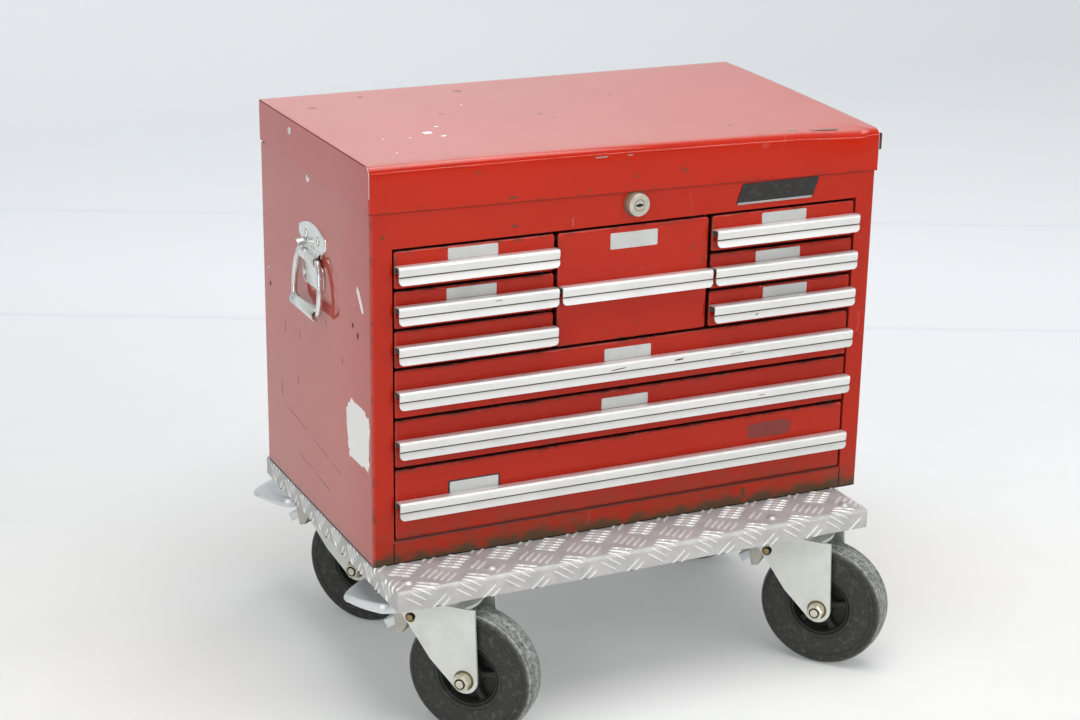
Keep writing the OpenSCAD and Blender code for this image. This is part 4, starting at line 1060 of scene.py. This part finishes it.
def brake(key):
    """Brake lever: dished pedal with turned-down sides, pivot tube, jaw and a thick release tab.

    The pedal is a grid: along it runs the slope from root to tip, across it the top dips by dish (1 - w2),
    and beyond the bend the sides go down by a flange that runs out to nothing at the tip. Its half width
    grows from the root by a smooth step.
    """
    root_u, tip_u, bend = -32.0, -111.0, 5.0
    s = np.linspace(0, 1, 26)[:, None]
    half = 21.0 + 11.6 * eased(s, 0.02, 0.34)
    w = np.concatenate([[-1.28, -1.14], np.linspace(-1, 1, 25), [1.14, 1.28]])[None]
    flat = np.clip(w, -1, 1)
    over = np.clip(np.abs(w) - 1, 0, None) / 0.28
    lead = tip_u + 3.0 * flat**2 + 3.5 * flat**6
    u = root_u + (lead - root_u) * s
    angle = np.clip((np.abs(flat) * half - (half - bend)) / bend, 0, 1) * math.pi / 2 * 0.9
    v = np.sign(flat) * (np.minimum(np.abs(flat) * half, half - bend) + bend * np.sin(angle))
    flange = 7.0 * (1 - s**3)
    slope = 157.8 - 1.6 * s
    dish = -3.6 * (1 - flat**2) * np.sin(np.clip(s * 1.05, 0, 1) * math.pi) ** 0.8
    drop = bend * (1 - np.cos(angle)) * (1 - 0.55 * s**4) + over * flange
    z = slope + dish - drop - 1.8 * eased(s, 0.92, 1.0)
    grid = in_caster(key, np.stack(np.broadcast_arrays(u, v + 0 * u, z), -1))
    pedal = sheet_shell(grid, 2.4)
    pin = in_caster(key, [PIN_U, 0.0, PIN_Z])
    _, _, axle, _ = caster_frame(key)

    def plate(profile, width, edge):
        """Outline of (u, z) along the axle, with rounded edges."""
        p = np.asarray(profile, float)
        p = np.concatenate([np.linspace(a, b, 4, endpoint=False) for a, b in zip(p, np.roll(p, -1, axis=0))])
        return loft(in_caster(key, slab(p, -width / 2, width / 2, edge)))

    bridge = plate([(-20, 152), (-20, 155), (-34, 157.4), (-52, 157.4), (-52, 154.4), (-34, 154.2)], 44, 0.5)
    tab = plate([(-36.5, 145.5), (-31.0, 136.0), (-55.0, 121.0), (-60.6, 130.4)], 40, 1.4)
    jaw = plate([(-24, 142), (-26, 149), (-41, 151), (-49, 147.5), (-42.5, 118.5), (-34, 121)], 42, 1.6)
    put("brake_" + key + "_lever", [pedal, bridge, tab], PEDAL, "brake_" + key, smooth=38,
        replaces=("brake_" + key,))
    put("brake_" + key + "_jaw", [jaw, tube(pin, axle, 8.0, 4.1, -25.4, 25.4, 0.8)], JAW, "brake_" + key,
        smooth=38)


# Side handles: the pivot, the circle that the bail's arms bow on, and the drop to the grip

HANDLE_Y = CHEST[1] + SIDE_D / 2
HANDLE_Z = CHEST[2] + 327
BAR_OFF, BAIL_TILT, BAIL_DROP = 6.5, math.radians(4), 62.0
BOW_R, BOW_Y, BOW_Z = 76.0, -31.5, 0.62 * BAIL_DROP


def handle(side):
    """Side handle: an arched ear with a stop lug and a foot pad, both riveted, a knuckle and a bail.

    The bail is a round wire whose arms bow on a circle of BOW_R, with a half-round grip open to the wall.
    """
    x_wall = CHEST[0] if side < 0 else CHEST[0] + CHEST_W
    name = "left" if side < 0 else "right"

    def at(out, y, z):
        """Place out from the wall, along Y and up from the pivot."""
        return np.stack(np.broadcast_arrays(x_wall + side * out, HANDLE_Y + y, HANDLE_Z + z), -1)

    def pressed(outline, gauge=2.1):
        """Pressed plate on the wall: its outline drawn in over a soft edge."""
        rings = []
        for d, short in ((0, gauge), (0, 1.0), (0.35, 0.4), (1.0, 0.1), (2.4, 0.0)):
            ring = drawn_in(outline, d)
            rings.append(at(gauge - short, ring[:, 0], ring[:, 1]))
        return loft(np.stack(rings))

    def ear():
        """Outline of the ear: an arc over the top, two round shoulders, sides drawn in to the knuckle."""
        top, arc_r, shoulder_r = 40, 93, 9
        sweep = np.linspace(-0.42, 0.42, 25)
        crest = np.stack([-arc_r * np.sin(sweep), top - arc_r + arc_r * np.cos(sweep)], -1)
        turn = np.linspace(1.15, -0.75, 12)
        right = np.stack([38 + shoulder_r * np.cos(turn), 22.9 + shoulder_r * np.sin(turn)], -1)
        waist = np.array([[-30.0, 7.5], [-28.0, 3.0], [28.0, 3.0], [30.0, 7.5]])
        return np.concatenate([crest, right * np.array([-1, 1]), waist, right[::-1]])

    t = np.linspace(-0.66 * math.pi, 0.66 * math.pi, 21)
    outer = np.stack([BAR_OFF + 6.4 * np.cos(t), 6.4 * np.sin(t)], -1)
    outer = np.concatenate([[[0.2, -12.0], [1.9, -11.0]], outer, [[1.9, 11.0], [0.2, 12.0]]])
    inner = np.stack([BAR_OFF + 4.6 * np.cos(t), 4.6 * np.sin(t)], -1)[::-1]
    section = np.concatenate([outer, inner])
    knuckle = loft(np.stack([
        at(section[:, 0] * f, y + 0 * section[:, 0], section[:, 1] * f)
        for y, f in zip((-28.0, -27.4, 27.4, 28.0), (0.98, 1, 1, 0.98))
    ]))
    run = np.linspace(0, 1, 10)[:, None]
    curl = np.linspace(-1.75, 1.75, 15)[None]
    lug_y = 27.5 - 6.0 * np.cos(curl) * (1 - 0.15 * run)
    lug_z = 10.0 + 5.5 * np.sin(curl) - 2.0 * run**2
    lug = at(1.4 + 10.6 * run, lug_y, lug_z)
    plates = [knuckle, pressed(ear()), pressed(rounded_ring(-36, 36, -39, -6, 11)), sheet_shell(lug, 1.6)]
    spots = [(-20, 22.5), (20, 22.5), (-27, -26), (27, -26)]
    rivets = [dome(at(1.9, y, z), (side, 0, 0), 5.0, 2.9) for y, z in spots]
    rivets.append(dome(at(0.0, 15.0, 91.0), (side, 0, 0), 4.5, 2.0))
    put("handle_plate_" + name, plates + rivets, CHROME, "cabinet", smooth=40)
    # Dark rings round the rivets are painted shadow
    rings = [tube(at(1.9, y, z), (side, 0.0, 0), 5.7, 4.6, 0.0, 0.25, 0.02) for y, z in spots]
    put("handle_rivet_shadow_" + name, rings, RUST_AND_SHADE, "cabinet")

    low = -np.array([14.0, 24.0, 34.0, 44.0, 52.0])
    bowed = BOW_Y + np.sqrt(BOW_R**2 - (low + BOW_Z) ** 2)
    arm = [(18, 0), (28.5, 0), (32.6, -1.3), (35.4, -5.6)] + list(zip(bowed, low))
    arm += [(41.6, -58.0), (37.5, -61.4), (31.0, -BAIL_DROP)]
    line = smooth_path([(-y, z) for y, z in arm] + [(0, -BAIL_DROP)] + arm[::-1], 170)
    normal = np.array([side * math.cos(BAIL_TILT), 0, math.sin(BAIL_TILT)])
    rise = np.array([-side * math.sin(BAIL_TILT), 0, math.cos(BAIL_TILT)])
    pivot = at(BAR_OFF, 0.0, 0.0)
    wire = swept(pivot + line[:, :1] * np.array([0, 1.0, 0]) + line[:, 1:] * rise, 3.5, 3.5, normal)
    a = np.linspace(-1.66, 1.66, 15)
    arc = np.cos(a)[:, None] * normal + np.sin(a)[:, None] * rise
    foot = pivot - BAIL_DROP * rise
    grip = loft(np.stack([
        foot + np.array([0, y, 0]) + np.concatenate([(8.0 - d) * arc, (5.8 + d) * arc[::-1]])
        for y, d in ((-39.0, 0.6), (-38.2, 0.0), (0.0, 0.0), (38.2, 0.0), (39.0, 0.6))
    ]))
    put("bail_" + name + "_bar", [wire, grip], CHROME, "bail_" + name, smooth=45,
        replaces=("handle_bail_" + name,))


# Plates, paper and small things on the faces

def face_plate(name, x, z, w, h, body, material, lean=0.0, gauge=0.7):
    """Thin plate on the front: rounded rectangles with a soft rim, leaning sideways by lean per unit height.

    Its middle is x from the chest's left edge and z above its foot.
    """
    rings = []
    for d, out in ((0, 0), (0, gauge * 0.6), (0.25, gauge), (0.9, gauge)):
        ring = rounded_ring(-w / 2 + d, w / 2 - d, -h / 2 + d, h / 2 - d, 1.6 - d)
        rings.append(on_front(x + ring[:, 0] + lean * ring[:, 1], z + ring[:, 1], out))
    put(name, [loft(rings)], material, body)


# Each label: drawer, middle across the chest, lower and upper edge; most stand behind the top of a pull
LABEL_W = 62.0
LABELS = [
    ("left_top", 123.8, 363.0, 376.4), ("left_mid", 122.2, 316.0, 329.6), ("centre", 329.0, 352.3, 371.8),
    ("right_top", 532.6, 363.0, 376.0), ("right_mid", 526.2, 316.0, 329.2), ("right_low", 538.8, 269.0, 282.6),
    ("wide_top", 324.9, 215.2, 230.4), ("wide_mid", 322.7, 154.8, 168.9), ("wide_deep", 126.6, 77.0, 93.1),
]


def patch(name, centre, half, plane, material, body, ragged=1.0, out=0.25, turn=0.0):
    """Thin sheet on a face whose rim wanders with a sum of sines; plane turns (a, b) and out into a place.

    turn turns the sheet within its face, in degrees.
    """
    t = full_turn(72)
    waves = 0.05 * np.sin(5 * t + 0.6) + 0.035 * np.sin(11 * t) + 0.02 * np.sin(23 * t + 2.0)
    wander = 1 + ragged * waves
    p = half[0] * squared(np.cos(t), 0.42) * wander
    q = half[1] * squared(np.sin(t), 0.42) * wander
    c, s = math.cos(math.radians(turn)), math.sin(math.radians(turn))
    a, b = centre[0] + c * p - s * q, centre[1] + s * p + c * q
    put(name, [loft(np.stack([plane(a, b, -0.2), plane(a, b, out)]))], material, body)


def on_left(a, b, out):
    """Place on the left side, from the chest's front and foot."""
    return np.column_stack([np.full(len(a), CHEST[0] - out), CHEST[1] + a, CHEST[2] + b])


def on_front(a, b, out):
    """Place on the front, from the chest's left edge and foot."""
    return np.column_stack([CHEST[0] + a, np.full(len(a), CHEST[1] - out), CHEST[2] + b])


def on_lid_front(a, b, out):
    """Place on the lid's front, from the chest's left edge and foot."""
    return np.column_stack([CHEST[0] + a, np.full(len(a), LID_Y[0] - out), CHEST[2] + b])


def on_lid_top(a, b, out):
    """Place on the lid's sagging top, from the chest's left front corner."""
    flat = np.column_stack([CHEST[0] + a, CHEST[1] + b, np.full(len(a), LID_Z[1])])
    return sagged(flat) + np.array([0, 0, out])


def on_pull(key):
    """Places on the outer face of a drawer's pull, from the chest's left edge and the pull line's level."""
    face = np.array(PULL_LINE[PULL_FACE:])
    front, top = node_box("drawer_" + key)[0][1], node_box("pull_" + key)[1][2] - PULL_DROP

    def plane(a, b, out):
        """Place whose distance follows the pull's line."""
        away = np.interp(-b, -face[:, 1], face[:, 0]) + PULL_GAUGE
        return np.column_stack([CHEST[0] + a, front - away - out, top + b])

    return plane


# Dark marks on the pulls: drawer, place on its pull, half sizes, turn; and such marks on the centre drawer
PULL_MARKS = [
    ("wide_top", 387, -4.2, 5.5, 1.0, 4), ("wide_top", 306, -5.6, 9.0, 0.6, 5),
    ("wide_top", 467, -6.4, 9.0, 0.4, 3), ("wide_mid", 505, -5.0, 4.0, 0.4, 3),
    ("right_low", 492, -14.0, 2.0, 0.6, 20), ("left_mid", 150, -2.6, 4.0, 0.4, 4),
]
CENTRE_MARKS = [
    (408, 343.5, 1.1, 3.0, -30), (423, 327.5, 0.7, 4.0, -8), (337, 259, 2.4, 0.5, -30), (293, 250, 2.6, 0.5, 25),
]

# Spilt paint, scuffs, scratches and rust: for each face the place on it, half sizes, turn
MARKS = {
    "spilt": (PAPER, [
        (on_lid_top, [
            (123, 133, 5.5, 5.0, 8), (135, 112, 4.0, 2.0, 30), (145, 159, 2.6, 2.0, 20), (95, 117, 1.0, 1.2, 0),
            (63, 121, 0.9, 1.2, 0), (53, 53, 0.9, 1.2, 0), (220, 259, 0.9, 1.2, 0),
        ]),
        (on_left, [(34.5, 315.5, 15.5, 3.6, 54), (360, 266, 1.6, 1.4, 0)]),
    ]),
    "scuff": (SCUFF, [
        (on_lid_top, [
            (42, 304, 4.5, 3.5, 0), (119, 343, 3.0, 3.5, 0), (246, 332, 4.0, 5.5, 40), (177, 221, 2.5, 2.5, 0),
            (291, 180, 4.5, 2.0, 20), (298, 155, 2.6, 1.6, 0), (418, 245, 2.0, 2.5, 0), (486, 57, 2.6, 3.0, 30),
            (590, 12, 19.0, 2.2, 0), (548, 14, 6.0, 4.0, 0),
        ]),
        (on_lid_front, [(283, 464.6, 8.0, 0.9, 0), (320, 464.0, 3.2, 0.8, 0)]),
        (on_front, [(249, 391, 0.35, 5.0, 0)]),
    ]),
    "scratch": (FAINT, [
        (on_left, [
            (262, 96, 34, 0.3, 6.4), (176, 86.5, 26, 0.3, 6.4), (120, 80, 14, 0.3, 6.4), (232, 50, 24, 0.3, 4.9),
            (168, 44, 22, 0.35, 4.9), (255, 150, 7, 0.6, 80), (300, 205, 6, 0.6, 84), (318, 118, 9, 0.7, 86),
            (150, 255, 4, 0.6, 75), (95, 225, 4, 0.6, 85), (245, 212, 5, 0.6, 82),
        ]),
    ]),
    "rust": (RUST_AND_SHADE, [
        (on_lid_front, [
            (172, 427.6, 4.8, 1.2, 0), (130, 460.5, 2.2, 1.2, 0), (328, 438, 1.5, 1.5, 0),
            (392, 440, 6.5, 1.0, -32), (314, 456, 0.9, 0.9, 0), (271, 427, 1.3, 1.3, 0),
        ]),
        (on_front, [(175, 393.6, 3.8, 1.4, 0), (15, 396, 1.8, 1.8, 0)]),
        (on_left, [(59, 279, 2.4, 2.8, 20), (43, 271, 2.6, 3.4, 10), (355, 246, 2.4, 2.6, 0)]),
        (on_front, [(493, 17, 2.6, 5.0, 10)]),
    ]),
}


def marks():
    """Every mark of the lists as a thin ragged sheet on its face."""
    for name, (material, faces) in MARKS.items():
        spots = [(plane, *spot) for plane, places in faces for spot in places]
        for k, (plane, a, b, wide, high, turn) in enumerate(spots):
            body = "lid" if plane in (on_lid_top, on_lid_front) else "cabinet"
            patch(name + "_" + str(k), (a, b), (wide, high), plane, material, body, 1.3, 0.12, turn)
    spots = [(key, on_pull(key), *spot) for key, *spot in PULL_MARKS]
    spots += [("centre", on_front, *spot) for spot in CENTRE_MARKS]
    for k, (key, plane, a, b, wide, high, turn) in enumerate(spots):
        patch("drawer_mark_" + str(k), (a, b), (wide, high), plane, RUST_AND_SHADE, "drawer_" + key, 3.0, 0.12, turn)


def face_things():
    """Labels, a bare badge plate with a bright foot, old paper and glue, and strips of painted seam shadow."""
    for key, x, z0, z1 in LABELS:
        face_plate("label_" + key, x, (z0 + z1) / 2, LABEL_W, z1 - z0, "drawer_" + key, LABEL)
    key, x, z0, z1 = LABELS[-1]
    face_plate("label_rim", x, (z0 + z1) / 2, LABEL_W + 4, z1 - z0 + 3, "drawer_" + key, DARK_PLATE, gauge=0.4)
    face_plate("badge_plate", 522, 402.5, 106, 24, "cabinet", DARK_PLATE, lean=0.35, gauge=1.2)
    face_plate("badge_foot", 518, 390.6, 104, 2.6, "cabinet", LABEL, gauge=1.5)
    patch("torn_paper", (45, 150), (36, 36), on_left, PAPER, "cabinet")
    patch("glue_patch", (526, 96), (31, 10), on_front, FAINT, "drawer_wide_deep", 0.4, 0.12)
    stile, rail_top, gap_top, seam = 25.5, 27.0, 1.6, 0.8
    # Dark strips at the stiles' seams and along the chest's foot are painted shadow
    corners = [((x - seam, -0.06, 2.0), (x + seam, 0.4, rail_top)) for x in (stile, CHEST_W - stile)]
    corners.append(((3, -0.1, 0), (CHEST_W - 3, 1, gap_top)))
    corners.append(((-0.1, 3, 0), (1, CHEST_D - 3, gap_top)))
    seams_and_painted_shadows = [block(CHEST + np.array(low), CHEST + np.array(high)) for low, high in corners]
    put("painted_seam_shadows", seams_and_painted_shadows, HOLE_SHADE, "cabinet")


def lock_marks():
    """Key slot as a dark block of painted shade on the lock's face, and a ring of dirt round its barrel."""
    (x0, y0, z0), (x1, y1, z1) = node_box("lock_barrel")
    x, z = (x0 + x1) / 2, (z0 + z1) / 2
    slot = block((x - 4.8, y0 - 0.06, z - 1.3), (x + 4.8, y0 + 1.0, z + 1.3))
    middle = block((x - 1.7, y0 - 0.08, z - 2.1), (x + 1.7, y0 + 1.0, z + 2.1))
    put("key_slot", [slot, middle], HOLE_SHADE, "lock_plug")
    face = np.array([x, CHEST[1], z])
    ring = tube(face, (0, -1.0, 0), 15.5, 12.0, -0.3, 0.12, 0.02)
    groove = tube(face, (0, -1.0, 0), 7.3, 6.8, CHEST[1] - y0 - 0.4, CHEST[1] - y0 + 0.08, 0.02)
    put("lock_dirt", [ring, groove], GRIME, "cabinet")


def build():
    """Every piece of the object."""
    side_sheet(-1)
    side_sheet(1)
    for key in DRAWERS:
        drawer(key)
        pull(key)
    lid()
    deck()
    tread_bars()
    for key in CASTERS:
        tyre(key)
        rim(key)
        brake(key)
        axle_bolt(key)
    handle(-1)
    handle(1)
    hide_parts("handle_plates")
    face_things()
    marks()
    lock_marks()
    for node in ("base_pan", "back_panel", "bottom_rail", "top_rail", "till_floor", "inner_walls"):
        dress(node, RED_PAINT, 0.4)
    for node in ("caster_plates", "drawer_channels", "hinge_leaf_body", "hinge_leaf_lid"):
        dress(node, ZINC, 0.4)
    dress("caster_bolts", BOLT, 0.6)
    for node in ("lock_barrel", "lock_plug"):
        dress(node, LOCK, 0.8)
    for key in CASTERS:
        dress("fork_" + key, ZINC, 1.0)


build()


# Floor, backdrop, light and camera

# Strength of the backdrop's glow near the object, and the direction along the floor to the set's back wall
GLOW = 0.13
BACKWARD = (0.43, 0.903, 0.0)


def backdrop_finish():
    """Matt pale floor and wall; camera and mirror rays also see a weak glow, so it reads as nearly white."""
    made, tree, shader = finish_of("studio_white", Roughness=0.85, Specular_IOR_Level=0.05)
    at = add(tree, "ShaderNodeTexCoord").outputs["Object"]
    away = add(tree, "ShaderNodeVectorMath", {0: at, 1: BACKWARD}, operation="DOT_PRODUCT").outputs["Value"]
    far = ramp(tree, away, 0.2, 1.5)
    cloud = ramp(tree, noise(tree, at, 1.6, 5.0, 0.6), 0.3, 0.7)
    near_tone = mix(tree, cloud, rgb(220, 220, 217), rgb(230, 230, 228))
    tone = mix(tree, far, near_tone, rgb(224, 227, 229))
    for line in (1.3, 2.04):
        band = maths(tree, "ABSOLUTE", maths(tree, "SUBTRACT", away, line))
        tone = mix(tree, ramp(tree, band, 0.004, 0.02, 0.3, 0.0), tone, rgb(196, 202, 206))
    tree.links.new(tone, shader.inputs["Base Color"])
    shader.inputs["Emission Color"].default_value = rgb(232, 237, 240)
    ray = add(tree, "ShaderNodeLightPath").outputs
    seen = maths(tree, "MAXIMUM", ray["Is Camera Ray"], ray["Is Glossy Ray"])
    strength = ramp(tree, away, 0.0, 1.6, GLOW, GLOW + 0.2)
    tree.links.new(maths(tree, "MULTIPLY", seen, strength), shader.inputs["Emission Strength"])
    return made


def backdrop():
    """Floor that runs back and curves up into a wall: y and z along the section, straight along X."""
    t = quarter(24)
    run, curve = 3.0, 1.2
    y = np.concatenate([[-6.0, -2.0, 0.0], run + curve * np.sin(t), [run + curve]])
    z = np.concatenate([[0.0, 0.0, 0.0], curve * (1 - np.cos(t)), [6.0]])
    x = np.array([-7.0, 7.0])
    grid = np.stack(np.broadcast_arrays(x[:, None], y[None], z[None]), -1)
    mesh = bpy.data.meshes.new("studio_sweep")
    mesh.from_pydata(grid.reshape(-1, 3).tolist(), [], quads(2, len(y)).tolist())
    mesh.shade_smooth()
    mesh.materials.append(backdrop_finish())
    sweep = bpy.data.objects.new("studio_sweep", mesh)
    bpy.context.scene.collection.objects.link(sweep)


def lamp(name, place, target, size, watts, depth=None):
    """Soft rectangular lamp that looks at a target point; size runs along X and depth across it."""
    light = bpy.data.lights.new(name, "AREA")
    light.shape = "RECTANGLE"
    light.size = size
    light.size_y = depth or size
    light.energy = watts
    made = bpy.data.objects.new(name, light)
    made.location = place
    made.rotation_euler = (Vector(target) - Vector(place)).to_track_quat("-Z", "Y").to_euler()
    bpy.context.scene.collection.objects.link(made)


def studio():
    """World that is paler overhead, an overhead softbox, a fill from the left and a long thin strip in front."""
    world = bpy.data.worlds.new("studio_world")
    world.use_nodes = True
    tree = world.node_tree
    sky = add(tree, "ShaderNodeTexCoord").outputs["Generated"]
    height = add(tree, "ShaderNodeSeparateXYZ", {0: sky}).outputs["Z"]
    tone = mix(tree, ramp(tree, height, -0.05, 0.75), (0.34, 0.34, 0.35, 1.0), (0.97, 0.98, 1.0, 1.0))
    tree.links.new(tone, tree.nodes["Background"].inputs["Color"])
    tree.nodes["Background"].inputs["Strength"].default_value = 0.55
    bpy.context.scene.world = world
    lamp("overhead", (0.1, -0.6, 3.2), (0, 0, 0.3), 2.4, 60)
    lamp("fill", (-3.0, -2.3, 1.4), (0, 0, 0.35), 2.2, 34)
    lamp("front_strip", (1.2, -2.85, 1.3), (0, -0.16, 0.66), 3.0, 30, 0.14)


def camera():
    """Camera at the photograph's viewing angle, from azimuth, elevation and roll in degrees."""
    azimuth, elevation, roll = (math.radians(v) for v in (-25.44, 18.95, 0.9))
    back = Vector((
        math.sin(azimuth) * math.cos(elevation), -math.cos(azimuth) * math.cos(elevation), math.sin(elevation),
    ))
    right = Vector((math.cos(azimuth), math.sin(azimuth), 0))
    up = back.cross(right)
    level = right * math.cos(roll) + up * math.sin(roll)
    head = up * math.cos(roll) - right * math.sin(roll)
    lens = bpy.data.cameras.new("camera")
    lens.sensor_width = 36
    lens.lens = 73.64
    made = bpy.data.objects.new("camera", lens)
    turn = Matrix((level, head, back)).transposed().to_4x4()
    made.matrix_world = Matrix.Translation((-1.15366, -2.36034, 1.27444)) @ turn
    bpy.context.scene.collection.objects.link(made)
    bpy.context.scene.camera = made


backdrop()
studio()
camera()
bpy.context.scene.view_settings.view_transform = "Standard"
